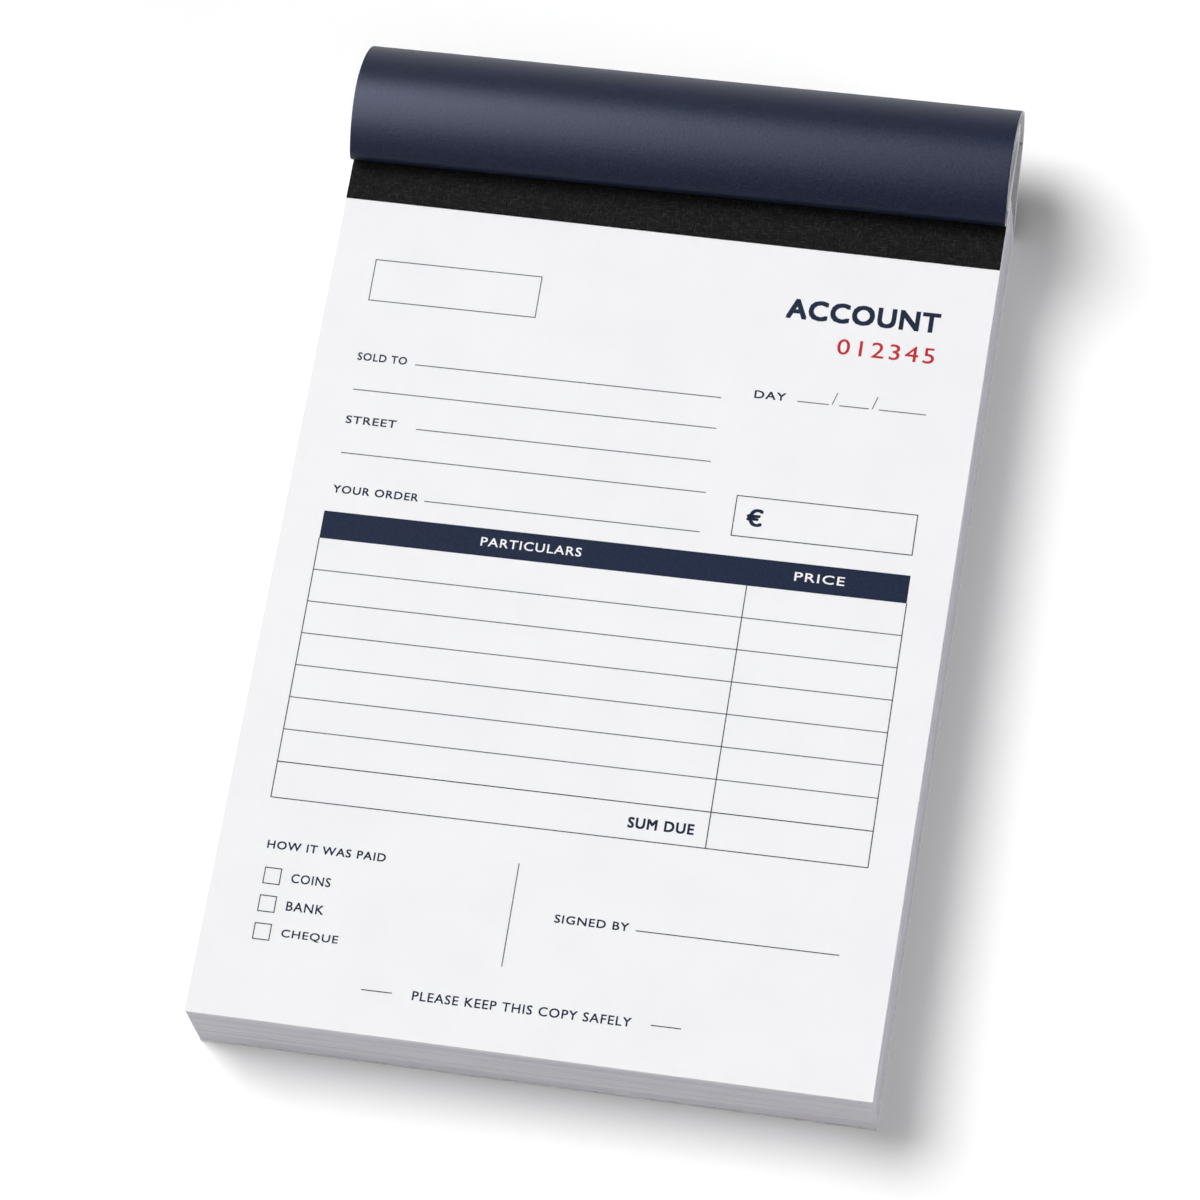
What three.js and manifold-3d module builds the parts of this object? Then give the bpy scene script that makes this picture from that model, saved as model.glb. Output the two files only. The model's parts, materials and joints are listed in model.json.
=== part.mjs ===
// Invoice book: an A5 pad of perforated leaves on a backing board, stitched with two wire staples,
// bound with glue and black cloth tape, in a wrap-around card cover that is rolled back over the binding.
// Millimetres. X runs across the page, Y from the open edge to the binding, Z up from the table.
// The origin is the middle of the back cover's underside.
import * as THREE from "three";
import { mergeVertices } from "three/addons/utils/BufferGeometryUtils.js";
import Module from "manifold-3d";

// The leaves.
const PAGE_WIDTH = 148;
const PAGE_LENGTH = 210;
const LEAF_THICKNESS = 0.09;
const LAYER_AIR = 0.01; // the air between two layers of the pressed pile
const LIFTING_LEAVES = 8;
const PACKS = 16;
const PACK_LEAVES = 12;

// The perforation that joins each leaf to its stub.
const SLIT_DEPTH = 0.2;
const TIE_WIDTH = 1;
const TIE_PITCH = 4;
const TIE_GAP = 0.1; // from the tips of the ties to the stub, where the leaf turns
const TAPE_SETBACK = 0.3; // from the turning line to the edge of the tape

// The board, the glue and the tape.
const BOARD_THICKNESS = 1.2;
const GLUE_THICKNESS = 0.3;
const TAPE_THICKNESS = 0.25;
const TAPE_TOP_FLANGE = 17;
const TAPE_BOTTOM_FLANGE = 15;
const GLUE_FILM_GAP = 0.3; // between the edge of the tape and the film of glue under the board

// The wire staples.
const STAPLE_SPACING = 74;
const STAPLE_CROWN = 12.5;
const STAPLE_FROM_SPINE = 6;
const WIRE_WIDTH = 0.6;
const WIRE_THICKNESS = 0.5;
const WIRE_BEND = 0.7; // radius of the wire's middle at each corner
const WIRE_COVER = 0.06; // from the crown to the tape over it
const CLINCH_LENGTH = 4;
const CLINCH_COVER = 0.06; // from the clinched ends to the tape under them
const WIRE_CLEARANCE = 0.15;
const WIRE_BEND_STEPS = 4;

// The card cover: back panel, spine panel and front panel, with a scored fold between each two.
const CARD_THICKNESS = 0.3;
const SCORE_WIDTH = 0.4;
const SPINE_CLEARANCE = 0.35; // from the tape to the lower score

// The front panel, rolled up with its printed face outwards. Radii are to its outer face.
const ROLL_SEAT_GAP = 0.3; // from the roll to the tape that it leans on
const ROLL_HEIGHT = 12.8; // from the tape to the top of the roll
const ROLL_OVERLAP = 8.6; // how far the roll reaches over the pad from the tape on the spine
const ROLL_TOP_SETBACK = 5; // from the tape on the spine to the middle of the top bend
const ROLL_REACH = 22; // how far the roll reaches behind the tape on the spine
const NEAR_RADIUS = 3.4;
const TOP_RADIUS = 12.4;
const FAR_RADIUS = 8.2;
const TUCK_RADIUS = 4; // the lower rear bend of the tucked turns
const INNER_NEAR_RADIUS = 4; // the front bend of the tucked turns
const TURN_GAP = 0.45;
const ARC_STEP = THREE.MathUtils.degToRad(7.5);
const LEAST_BEND = 0.7; // the tightest bend that the card takes

// Heights of the layers, from the table up.
const FILM_Z = CARD_THICKNESS;
const BOARD_Z = FILM_Z + TAPE_THICKNESS;
const PILE_Z = BOARD_Z + BOARD_THICKNESS;
const LEAF_PITCH = LEAF_THICKNESS + LAYER_AIR;
const PACK_PITCH = PACK_LEAVES * LEAF_PITCH;
const LIFTING_Z = PILE_Z + PACKS * PACK_PITCH;
const PILE_TOP_Z = LIFTING_Z + LIFTING_LEAVES * LEAF_PITCH;
const TAPE_TOP_Z = PILE_TOP_Z + TAPE_THICKNESS;

// Places along the page, from the open edge to the binding.
const FRONT_Y = -PAGE_LENGTH / 2;
const SPINE_Y = PAGE_LENGTH / 2;
const TAPE_SPINE_Y = SPINE_Y + GLUE_THICKNESS + TAPE_THICKNESS;
const TAPE_EDGE_Y = SPINE_Y - TAPE_TOP_FLANGE;
const TURN_LINE_Y = TAPE_EDGE_Y - TAPE_SETBACK;
const STUB_EDGE_Y = TURN_LINE_Y + TIE_GAP;
const FILM_EDGE_Y = SPINE_Y - TAPE_BOTTOM_FLANGE - GLUE_FILM_GAP;
const STAPLE_Y = SPINE_Y - STAPLE_FROM_SPINE;
const LOWER_SCORE = new THREE.Vector2(TAPE_SPINE_Y + SPINE_CLEARANCE, CARD_THICKNESS / 2);
const TURN_PITCH = CARD_THICKNESS + TURN_GAP;

// Finishes.
const finish = (color, roughness, metalness = 0) => ({ color, roughness, metalness });
const PAPER = finish(0xf4f4f6, 0.85);
const COVER_CARD = finish(0x202b44, 0.5);
const GREY_BOARD = finish(0xb9b7b2, 0.9);
const CLOTH_TAPE = finish(0x191a19, 0.9);
const GLUE = finish(0xe9e5d8, 0.5);
const WIRE = finish(0xb9bdc2, 0.35, 1);

const wasm = await Module();
wasm.setup();

const book = new THREE.Group();

// Adds one named piece to the book.
function addPiece(name, geometry, { color, roughness, metalness }, z = 0) {
  const mesh = new THREE.Mesh(geometry, new THREE.MeshStandardMaterial({ color, roughness, metalness }));
  mesh.name = name;
  mesh.position.z = z;
  book.add(mesh);
}

// A closed outline from a list of [x, y] pairs or vectors.
function outline(points) {
  return new THREE.Shape(points.map((p) => (p.isVector2 ? p : new THREE.Vector2(...p))));
}

// A flat rectangle that spans the page's width, between two places along the page.
function pageRectangle(fromY, toY) {
  const half = PAGE_WIDTH / 2;
  return outline([[-half, fromY], [half, fromY], [half, toY], [-half, toY]]);
}

// A sheet with its underside at height 0.
function sheet(shape, thickness) {
  return new THREE.ExtrudeGeometry(shape, { depth: thickness, bevelEnabled: false });
}

// A section in the (Y, Z) plane, run out along X and centred on x = 0.
function runAcross(shape, width) {
  const geometry = new THREE.ExtrudeGeometry(shape, { depth: width, bevelEnabled: false });
  geometry.translate(0, 0, -width / 2);
  return turnAxes(geometry, new THREE.Vector3(0, 1, 0), new THREE.Vector3(0, 0, 1), new THREE.Vector3(1, 0, 0));
}

// Swaps the axes of a geometry for the three given ones, which turn it without mirroring it.
function turnAxes(geometry, x, y, z) {
  return geometry.applyMatrix4(new THREE.Matrix4().makeBasis(x, y, z));
}

// The outline of a strip of even thickness whose middle follows a line of points.
function strip(line, thickness) {
  const ways = line.slice(1).map((point, i) => new THREE.Vector2().subVectors(point, line[i]).normalize());
  const [right, left] = [[], []];
  line.forEach((point, i) => {
    const into = ways[Math.max(i - 1, 0)];
    const out = ways[Math.min(i, ways.length - 1)];
    const along = new THREE.Vector2().addVectors(into, out).normalize();
    const reach = thickness / 2 / along.dot(into);
    right.push(new THREE.Vector2(point.x + along.y * reach, point.y - along.x * reach));
    left.unshift(new THREE.Vector2(point.x - along.y * reach, point.y + along.x * reach));
  });
  return outline([...right, ...left]);
}

// A line of points with each inner corner rounded to a radius, in a number of steps.
function roundedLine(corners, radius, steps) {
  const line = [corners[0]];
  for (let i = 1; i < corners.length - 1; i++) {
    const back = new THREE.Vector2().subVectors(corners[i - 1], corners[i]).normalize();
    const on = new THREE.Vector2().subVectors(corners[i + 1], corners[i]).normalize();
    const half = Math.acos(back.dot(on)) / 2;
    const inward = new THREE.Vector2().addVectors(back, on).normalize();
    const centre = corners[i].clone().addScaledVector(inward, radius / Math.sin(half));
    const start = corners[i].clone().addScaledVector(back, radius / Math.tan(half));
    const sweep = (Math.PI - 2 * half) * Math.sign(on.cross(back));
    for (let k = 0; k <= steps; k++) line.push(start.clone().rotateAround(centre, (sweep * k) / steps));
  }
  line.push(corners[corners.length - 1]);
  return line;
}

// Closed meshes to and from solids that can be cut.
function solidOf(geometry) {
  const bare = geometry.clone();
  bare.deleteAttribute("normal");
  bare.deleteAttribute("uv");
  const merged = mergeVertices(bare);
  const triVerts = new Uint32Array(merged.index.array);
  return new wasm.Manifold(
    new wasm.Mesh({ numProp: 3, vertProperties: merged.attributes.position.array, triVerts }),
  );
}

function geometryOf(solid) {
  const mesh = solid.getMesh();
  const geometry = new THREE.BufferGeometry();
  geometry.setAttribute("position", new THREE.BufferAttribute(mesh.vertProperties, mesh.numProp));
  geometry.setIndex(new THREE.BufferAttribute(mesh.triVerts, 1));
  return geometry;
}

// The middles of the staples, and of all their legs, across the page.
function stapleMiddles() {
  return [-STAPLE_SPACING / 2, STAPLE_SPACING / 2];
}

function legMiddles() {
  const legs = [];
  for (const x of stapleMiddles()) legs.push(x - STAPLE_CROWN / 2, x + STAPLE_CROWN / 2);
  return legs;
}

// A geometry with boxes cut out of it. Each box is [x, y, z, size along x, size along y, size along z].
function cutBoxes(geometry, boxes) {
  let solid = solidOf(geometry);
  for (const [x, y, z, ...size] of boxes) {
    solid = solid.subtract(solidOf(new THREE.BoxGeometry(...size).translate(x, y, z)));
  }
  return geometryOf(solid);
}

// The holes that the legs are driven through, longer than any layer is thick.
function legHoles() {
  const [across, along] = [WIRE_THICKNESS + 2 * WIRE_CLEARANCE, WIRE_WIDTH + 2 * WIRE_CLEARANCE];
  return legMiddles().map((x) => [x, STAPLE_Y, 0, across, along, PILE_TOP_Z]);
}

// The windows that the crowns press open in the stubs.
function crownWindows() {
  const length = STAPLE_CROWN + WIRE_THICKNESS + 2 * WIRE_CLEARANCE;
  return stapleMiddles().map((x) => [x, STAPLE_Y, 0, length, WIRE_WIDTH + 2 * WIRE_CLEARANCE, PILE_TOP_Z]);
}

// A leaf up to its perforation: a plain sheet whose rear edge is a row of ties.
function leafShape() {
  const half = PAGE_WIDTH / 2;
  const bodyY = TURN_LINE_Y - SLIT_DEPTH;
  const ties = Math.floor((PAGE_WIDTH - TIE_WIDTH) / TIE_PITCH);
  const points = [[-half, FRONT_Y], [half, FRONT_Y], [half, bodyY]];
  for (let i = 0; i < ties; i++) {
    const x = ((ties - 1) / 2 - i) * TIE_PITCH;
    const [right, left] = [x + TIE_WIDTH / 2, x - TIE_WIDTH / 2];
    points.push([right, bodyY], [right, TURN_LINE_Y], [left, TURN_LINE_Y], [left, bodyY]);
  }
  points.push([-half, bodyY]);
  return outline(points);
}

// The part of a leaf that stays in the binding, pressed open round the crown of each staple.
function stubGeometry() {
  return cutBoxes(sheet(pageRectangle(STUB_EDGE_Y, SPINE_Y), LEAF_THICKNESS), crownWindows());
}

// The leaves that can be lifted one after another, each with its stub. Leaf 1 is the top one.
function addLiftingLeaves() {
  for (let i = 1; i <= LIFTING_LEAVES; i++) {
    const z = PILE_TOP_Z - i * LEAF_PITCH;
    addPiece("leaf_" + i, sheet(leafShape(), LEAF_THICKNESS), PAPER, z);
    addPiece("stub_" + i, stubGeometry(), PAPER, z);
  }
}

// The rest of the pile, in packs of leaves that lie still.
function addPacks() {
  const pack = cutBoxes(sheet(pageRectangle(FRONT_Y, SPINE_Y), PACK_PITCH - LAYER_AIR), legHoles());
  for (let i = 1; i <= PACKS; i++) {
    addPiece("leaf_pack_" + String(i).padStart(2, "0"), pack, PAPER, LIFTING_Z - i * PACK_PITCH);
  }
}

// The grooves that the clinched ends are pressed into, in the board's underside.
function clinchGrooves() {
  const depth = CLINCH_COVER + WIRE_THICKNESS + WIRE_CLEARANCE;
  const length = CLINCH_LENGTH + WIRE_THICKNESS / 2 + 2 * WIRE_CLEARANCE;
  const outer = STAPLE_CROWN / 2 + WIRE_THICKNESS / 2 + WIRE_CLEARANCE;
  return stapleMiddles().flatMap((middle) => [-1, 1].map(
    (side) => [middle + side * (outer - length / 2), STAPLE_Y, 0, length, WIRE_WIDTH + 2 * WIRE_CLEARANCE, 2 * depth],
  ));
}

// The board under the leaves.
function addBoard() {
  const plain = sheet(pageRectangle(FRONT_Y, SPINE_Y), BOARD_THICKNESS - LAYER_AIR);
  addPiece("backing_board", cutBoxes(plain, [...legHoles(), ...clinchGrooves()]), GREY_BOARD, BOARD_Z);
}

// The glue along the spine, and the film that holds the back cover to the board.
function addGlue() {
  const spine = outline([
    [SPINE_Y, BOARD_Z],
    [SPINE_Y + GLUE_THICKNESS, BOARD_Z],
    [SPINE_Y + GLUE_THICKNESS, PILE_TOP_Z],
    [SPINE_Y, PILE_TOP_Z],
  ]);
  addPiece("spine_glue", runAcross(spine, PAGE_WIDTH), GLUE);
  addPiece("cover_glue", sheet(pageRectangle(FRONT_Y, FILM_EDGE_Y), TAPE_THICKNESS), GLUE, FILM_Z);
}

// The tape, folded round the spine from the top stub to the underside of the board.
function addTape() {
  const half = TAPE_THICKNESS / 2;
  const line = [
    new THREE.Vector2(SPINE_Y - TAPE_BOTTOM_FLANGE, BOARD_Z - half),
    new THREE.Vector2(TAPE_SPINE_Y - half, BOARD_Z - half),
    new THREE.Vector2(TAPE_SPINE_Y - half, PILE_TOP_Z + half),
    new THREE.Vector2(TAPE_EDGE_Y, PILE_TOP_Z + half),
  ];
  addPiece("binding_tape", runAcross(strip(line, TAPE_THICKNESS), PAGE_WIDTH), CLOTH_TAPE);
}

// One staple: a crown over the stubs, two legs down through the pile and two ends clinched inwards.
function stapleGeometry() {
  const half = STAPLE_CROWN / 2;
  const crownZ = PILE_TOP_Z - WIRE_COVER - WIRE_THICKNESS / 2;
  const clinchZ = BOARD_Z + CLINCH_COVER + WIRE_THICKNESS / 2;
  const corners = [
    [-half + CLINCH_LENGTH, clinchZ], [-half, clinchZ], [-half, crownZ],
    [half, crownZ], [half, clinchZ], [half - CLINCH_LENGTH, clinchZ],
  ].map((corner) => new THREE.Vector2(...corner));
  const shape = strip(roundedLine(corners, WIRE_BEND, WIRE_BEND_STEPS), WIRE_THICKNESS);
  const geometry = new THREE.ExtrudeGeometry(shape, { depth: WIRE_WIDTH, bevelEnabled: false });
  geometry.translate(0, 0, -WIRE_WIDTH / 2);
  return turnAxes(geometry, new THREE.Vector3(1, 0, 0), new THREE.Vector3(0, 0, 1), new THREE.Vector3(0, -1, 0));
}

function addStaples() {
  stapleMiddles().forEach((x, i) => {
    const geometry = stapleGeometry().translate(x, STAPLE_Y, 0);
    addPiece(i ? "staple_right" : "staple_left", geometry, WIRE);
  });
}

// The bends that the rolled card runs round, from the spine panel on: each a centre and a radius.
function bend(y, z, radius) {
  return { centre: new THREE.Vector2(y, z), radius: radius - CARD_THICKNESS / 2 };
}

function farBend() {
  const y = TAPE_SPINE_Y + ROLL_REACH - FAR_RADIUS;
  const { radius } = bend(0, 0, FAR_RADIUS);
  const across = y - LOWER_SCORE.x;
  const up = Math.sqrt(spinePanelLength() ** 2 + radius ** 2 - across ** 2);
  return bend(y, LOWER_SCORE.y + up, FAR_RADIUS);
}

function topBend() {
  return bend(TAPE_SPINE_Y + ROLL_TOP_SETBACK, TAPE_TOP_Z + ROLL_HEIGHT - TOP_RADIUS, TOP_RADIUS);
}

function nearBend() {
  return bend(TAPE_SPINE_Y - ROLL_OVERLAP + NEAR_RADIUS, TAPE_TOP_Z + ROLL_SEAT_GAP + NEAR_RADIUS, NEAR_RADIUS);
}

// A bend of the tucked turns, which lies a turn inside a straight stretch of the outer turn, and sits over
// the tape at a height.
function tuckedBend(outer, height, radius) {
  const normal = new THREE.Vector2(Math.cos(outer.angle), Math.sin(outer.angle));
  const z = TAPE_TOP_Z + height + radius;
  const reach = outer.leave.dot(normal) - TURN_PITCH - bend(0, 0, radius).radius;
  return bend((reach - z * normal.y) / normal.x, z, radius);
}

function tuckBend() {
  return tuckedBend(tangent(farBend(), topBend()), ROLL_SEAT_GAP, TUCK_RADIUS);
}

function innerNearBend() {
  return tuckedBend(tangent(topBend(), nearBend()), ROLL_SEAT_GAP + TURN_PITCH, INNER_NEAR_RADIUS);
}

// The spine panel is as wide as the pad is thick.
function spinePanelLength() {
  return PILE_TOP_Z;
}

// A bend some turns further in.
function tightened({ centre, radius }, turns) {
  return { centre, radius: radius - turns * TURN_PITCH };
}

// The bends in the order that the card meets them: the outer turn, then the tucked turns, each one tighter.
function* bendsInOrder() {
  yield farBend();
  yield topBend();
  yield nearBend();
  for (let turn = 0; ; turn++) {
    yield tightened(tuckBend(), turn);
    yield tightened(topBend(), turn + 1);
    yield tightened(innerNearBend(), turn);
  }
}

// Where the straight stretch from one bend to the next leaves the first and meets the second.
function tangent(from, to) {
  const way = new THREE.Vector2().subVectors(to.centre, from.centre);
  const along = (from.radius - to.radius) / way.length();
  const unit = way.normalize();
  const outward = new THREE.Vector2(unit.y, -unit.x).multiplyScalar(Math.sqrt(1 - along ** 2));
  const normal = outward.addScaledVector(unit, along);
  return {
    leave: normal.clone().multiplyScalar(from.radius).add(from.centre),
    meet: normal.clone().multiplyScalar(to.radius).add(to.centre),
    angle: normal.angle(),
  };
}

// The middle line of the card: from the lower score round the bends, turn after turn, to a length.
function coverLine(length) {
  const crease = { centre: LOWER_SCORE, radius: 0 };
  const bends = bendsInOrder();
  let from = bends.next().value;
  const first = tangent(crease, from);
  const line = [first.leave, first.meet];
  let angle = first.angle;
  let run = first.leave.distanceTo(first.meet);
  const push = (point) => {
    run += point.distanceTo(line[line.length - 1]);
    line.push(point);
  };
  while (run < length) {
    const to = bends.next().value;
    if (to.radius < LEAST_BEND) throw new Error("the roll is too tight for the length of the front panel");
    const straight = tangent(from, to);
    let sweep = straight.angle - angle;
    while (sweep < 0) sweep += 2 * Math.PI;
    const steps = Math.max(1, Math.ceil(sweep / ARC_STEP));
    for (let k = 1; k <= steps; k++) {
      const turned = angle + (sweep * k) / steps;
      push(new THREE.Vector2(Math.cos(turned), Math.sin(turned)).multiplyScalar(from.radius).add(from.centre));
    }
    push(straight.meet);
    angle = straight.angle;
    from = to;
  }
  return line;
}

// The stretch of a line between two distances from its start.
function stretch(line, start, end) {
  const points = [];
  let run = 0;
  for (let i = 1; i < line.length; i++) {
    const step = line[i].distanceTo(line[i - 1]);
    for (const mark of [start, end]) {
      if (mark >= run && mark < run + step) {
        points.push(new THREE.Vector2().lerpVectors(line[i - 1], line[i], (mark - run) / step));
      }
    }
    run += step;
    if (run > start && run < end) points.push(line[i]);
  }
  return points;
}

// The least gap between the roll and itself, from its points, away from where it is joined.
function leastGap(line) {
  const apart = 2 * Math.PI * LEAST_BEND;
  let least = Infinity;
  for (let i = 0; i < line.length; i++) {
    let run = 0;
    for (let k = i + 1; k < line.length - 1; k++) {
      run += line[k].distanceTo(line[k - 1]);
      if (run < apart) continue;
      const edge = new THREE.Line3(
        new THREE.Vector3(line[k].x, line[k].y, 0),
        new THREE.Vector3(line[k + 1].x, line[k + 1].y, 0),
      );
      const point = new THREE.Vector3(line[i].x, line[i].y, 0);
      least = Math.min(least, edge.closestPointToPoint(point, true, new THREE.Vector3()).distanceTo(point));
    }
  }
  return least - CARD_THICKNESS;
}

// The cover: the back panel flat under the pad, the spine panel leaning back and the rolled front panel.
function addCover() {
  const back = pageRectangle(FRONT_Y, LOWER_SCORE.x - SCORE_WIDTH / 2);
  addPiece("back_cover", sheet(back, CARD_THICKNESS), COVER_CARD);
  const fold = spinePanelLength();
  const line = coverLine(fold + PAGE_LENGTH);
  const panel = stretch(line, SCORE_WIDTH / 2, fold - SCORE_WIDTH / 2);
  addPiece("cover_spine_panel", runAcross(strip(panel, CARD_THICKNESS), PAGE_WIDTH), COVER_CARD);
  const roll = stretch(line, fold + SCORE_WIDTH / 2, fold + PAGE_LENGTH);
  addPiece("front_cover", runAcross(strip(roll, CARD_THICKNESS), PAGE_WIDTH), COVER_CARD);
  console.log("least gap between the turns of the rolled cover: " + leastGap(roll).toFixed(2) + " mm");
}

addCover();
addGlue();
addBoard();
addPacks();
addLiftingLeaves();
addTape();
addStaples();

export default book;
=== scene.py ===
"""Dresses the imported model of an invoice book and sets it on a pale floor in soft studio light.

The book is an A5 pad of perforated, printed leaves on a grey board, stitched with two wire staples, bound
with glue and black book cloth, in a wrap-around card cover that is rolled back over the binding. Lengths
are metres. X runs across the page, Y from the open edge to the binding and Z up from the table.
"""

import json
import logging
import math
from collections.abc import Iterator, Sequence
from dataclasses import dataclass, field
from enum import Enum, IntEnum

import bmesh
import bpy
from mathutils import Matrix, Vector


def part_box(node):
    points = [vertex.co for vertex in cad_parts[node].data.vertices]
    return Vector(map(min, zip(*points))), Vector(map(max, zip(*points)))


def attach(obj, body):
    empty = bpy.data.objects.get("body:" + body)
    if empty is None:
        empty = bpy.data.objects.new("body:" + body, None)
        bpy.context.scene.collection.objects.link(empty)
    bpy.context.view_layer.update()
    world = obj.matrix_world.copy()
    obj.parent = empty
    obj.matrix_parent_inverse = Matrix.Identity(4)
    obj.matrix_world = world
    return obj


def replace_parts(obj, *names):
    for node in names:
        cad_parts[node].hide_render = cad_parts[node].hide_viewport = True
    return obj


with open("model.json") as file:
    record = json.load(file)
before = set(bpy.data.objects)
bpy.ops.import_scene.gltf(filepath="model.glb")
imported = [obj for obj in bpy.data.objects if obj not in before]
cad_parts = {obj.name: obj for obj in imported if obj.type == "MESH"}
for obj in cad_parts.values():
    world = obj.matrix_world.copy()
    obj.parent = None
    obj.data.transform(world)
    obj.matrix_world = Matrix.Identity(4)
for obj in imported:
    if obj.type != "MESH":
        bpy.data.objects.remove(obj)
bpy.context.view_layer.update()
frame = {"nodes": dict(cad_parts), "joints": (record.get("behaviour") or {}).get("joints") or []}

log = logging.getLogger("invoice_book")

MM = 0.001


def linear(code: int) -> tuple[float, float, float, float]:
    """Turns a screen colour into the linear colour that shaders take.

    Args:
        code: The colour as 0xRRGGBB.

    Returns:
        Red, green, blue and an alpha of 1.
    """
    channels = [((code >> shift) & 255) / 255 for shift in (16, 8, 0)]
    return tuple(c / 12.92 if c <= 0.04045 else ((c + 0.055) / 1.055) ** 2.4 for c in channels) + (1.0,)


@dataclass(frozen=True)
class Grain:
    """A cloudy pattern: its repeats in a metre along X, Y and Z, its finer layers, and where it fades."""

    repeats: tuple[float, float, float]
    detail: float
    low: float = 0.0
    high: float = 1.0

    @classmethod
    def even(cls, repeats: float, detail: float, low: float = 0.0, high: float = 1.0) -> "Grain":
        """A pattern that is as fine along all three axes."""
        return cls((repeats,) * 3, detail, low, high)


class ShaderTree:
    """The node tree of one material, with short calls that add and join nodes."""

    # The Mix node's sockets for the share and the two colours, and for the mixed colour.
    mix_inputs = (0, 6, 7)
    mix_output = 2
    # The step from one band of the Wave texture to the next, at a scale of 1.
    band_step = 2 * math.pi / 20

    def __init__(self, name: str) -> None:
        """Starts an empty material.

        Args:
            name: The name of the material.
        """
        self.material = bpy.data.materials.new(name)
        self.material.use_nodes = True
        self.tree = self.material.node_tree
        self.tree.nodes.clear()

    def node(self, kind: str, inputs: dict | None = None, **settings: object) -> bpy.types.Node:
        """Adds a node.

        Args:
            kind: The node's type, without its ShaderNode prefix.
            inputs: Values or output sockets for its inputs, by name or number.
            **settings: Properties of the node.

        Returns:
            The new node.
        """
        made = self.tree.nodes.new("ShaderNode" + kind)
        for key, value in settings.items():
            setattr(made, key, value)
        for key, value in (inputs or {}).items():
            self.join(value, made.inputs[key])
        return made

    def join(self, value: object, socket: bpy.types.NodeSocket) -> None:
        """Links an output to an input, or sets the input's own value.

        Args:
            value: An output socket, or a plain value.
            socket: The input to link or set.
        """
        if isinstance(value, bpy.types.NodeSocket):
            self.tree.links.new(value, socket)
        else:
            socket.default_value = value

    def place(self, scale: tuple[float, float, float]) -> bpy.types.NodeSocket:
        """The object's own coordinates, scaled along each axis.

        Args:
            scale: The pattern's repeats in a metre, along X, Y and Z.

        Returns:
            The scaled coordinates.
        """
        coordinates = self.node("TexCoord").outputs["Object"]
        return self.node("Mapping", {"Vector": coordinates, "Scale": scale}).outputs["Vector"]

    def noise(self, grain: Grain) -> bpy.types.NodeSocket:
        """A cloudy pattern on the object's own coordinates.

        Args:
            grain: How fine the pattern is.

        Returns:
            The pattern's value, about 0.5 on average.
        """
        made = self.node(
            "TexNoise", {"Vector": self.place(grain.repeats), "Scale": 1.0, "Detail": grain.detail},
        )
        return made.outputs["Fac"]

    def share(self, grain: Grain, start: float = 0.0, end: float = 1.0) -> bpy.types.NodeSocket:
        """A cloudy pattern that goes from one value to another between its grain's two limits.

        Args:
            grain: How fine the pattern is, and where it fades.
            start: What its low limit becomes.
            end: What its high limit becomes.

        Returns:
            The mapped value.
        """
        return self.spread(self.noise(grain), grain.low, grain.high, start, end)

    def threads(
        self, pitch: float, direction: str, waver: float, detail: float, coarse: float,
    ) -> bpy.types.NodeSocket:
        """Parallel threads, as bands on the object's own coordinates.

        Args:
            pitch: The distance from one thread to the next.
            direction: The way that the threads are counted along, X, Y, Z or DIAGONAL.
            waver: How far the bands stray.
            detail: How many finer layers their straying has.
            coarse: The scale of their straying.

        Returns:
            The bands' value, 0 between threads and 1 on them.
        """
        made = self.node(
            "TexWave",
            {"Vector": self.place((1.0, 1.0, 1.0)), "Scale": self.band_step / pitch, "Distortion": waver,
             "Detail": detail, "Detail Scale": coarse},
            wave_type="BANDS", bands_direction=direction, wave_profile="SIN",
        )
        return made.outputs["Fac"]

    def spread(
        self, value: bpy.types.NodeSocket, low: float, high: float, start: float = 0.0, end: float = 1.0,
    ) -> bpy.types.NodeSocket:
        """Maps a value from one range to another.

        Args:
            value: The value.
            low: The value that becomes the start.
            high: The value that becomes the end.
            start: What the low value becomes.
            end: What the high value becomes.

        Returns:
            The mapped value, kept inside the new range.
        """
        made = self.node(
            "MapRange",
            {"Value": value, "From Min": low, "From Max": high, "To Min": start, "To Max": end},
            clamp=True,
        )
        return made.outputs["Result"]

    def maths(self, operation: str, first: object, second: object = 0.0) -> bpy.types.NodeSocket:
        """The result of a sum on one or two values.

        Args:
            operation: The name of the operation, such as MULTIPLY.
            first: A value or an output.
            second: A value or an output.

        Returns:
            The result.
        """
        return self.node("Math", {0: first, 1: second}, operation=operation).outputs[0]

    def mix(self, share: object, first: object, second: object) -> bpy.types.NodeSocket:
        """A mix of two colours.

        Args:
            share: How much of the second colour there is.
            first: A colour or an output.
            second: A colour or an output.

        Returns:
            The mixed colour.
        """
        made = self.node("Mix", data_type="RGBA")
        for key, value in zip(self.mix_inputs, (share, first, second)):
            self.join(value, made.inputs[key])
        return made.outputs[self.mix_output]

    def bump(
        self, height: bpy.types.NodeSocket, depth: float, strength: float = 1.0, under: object = None,
    ) -> bpy.types.NodeSocket:
        """Fine relief.

        Args:
            height: The pattern of the relief, from 0 to 1.
            depth: The relief's real depth.
            strength: How strongly it shows.
            under: A coarser relief that this one lies on.

        Returns:
            The bumped normal.
        """
        inputs = {"Height": height, "Distance": depth, "Strength": strength}
        if under is not None:
            inputs["Normal"] = under
        return self.node("Bump", inputs).outputs["Normal"]

    def finish(self, **inputs: object) -> bpy.types.Material:
        """Ends the tree in a Principled shader.

        Args:
            **inputs: Values or outputs for the shader's inputs, with underscores for spaces.

        Returns:
            The finished material.
        """
        named = {key.replace("_", " "): value for key, value in inputs.items()}
        shader = self.node("BsdfPrincipled", named)
        output = self.node("OutputMaterial")
        self.tree.links.new(shader.outputs["BSDF"], output.inputs["Surface"])
        return self.material


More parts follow.
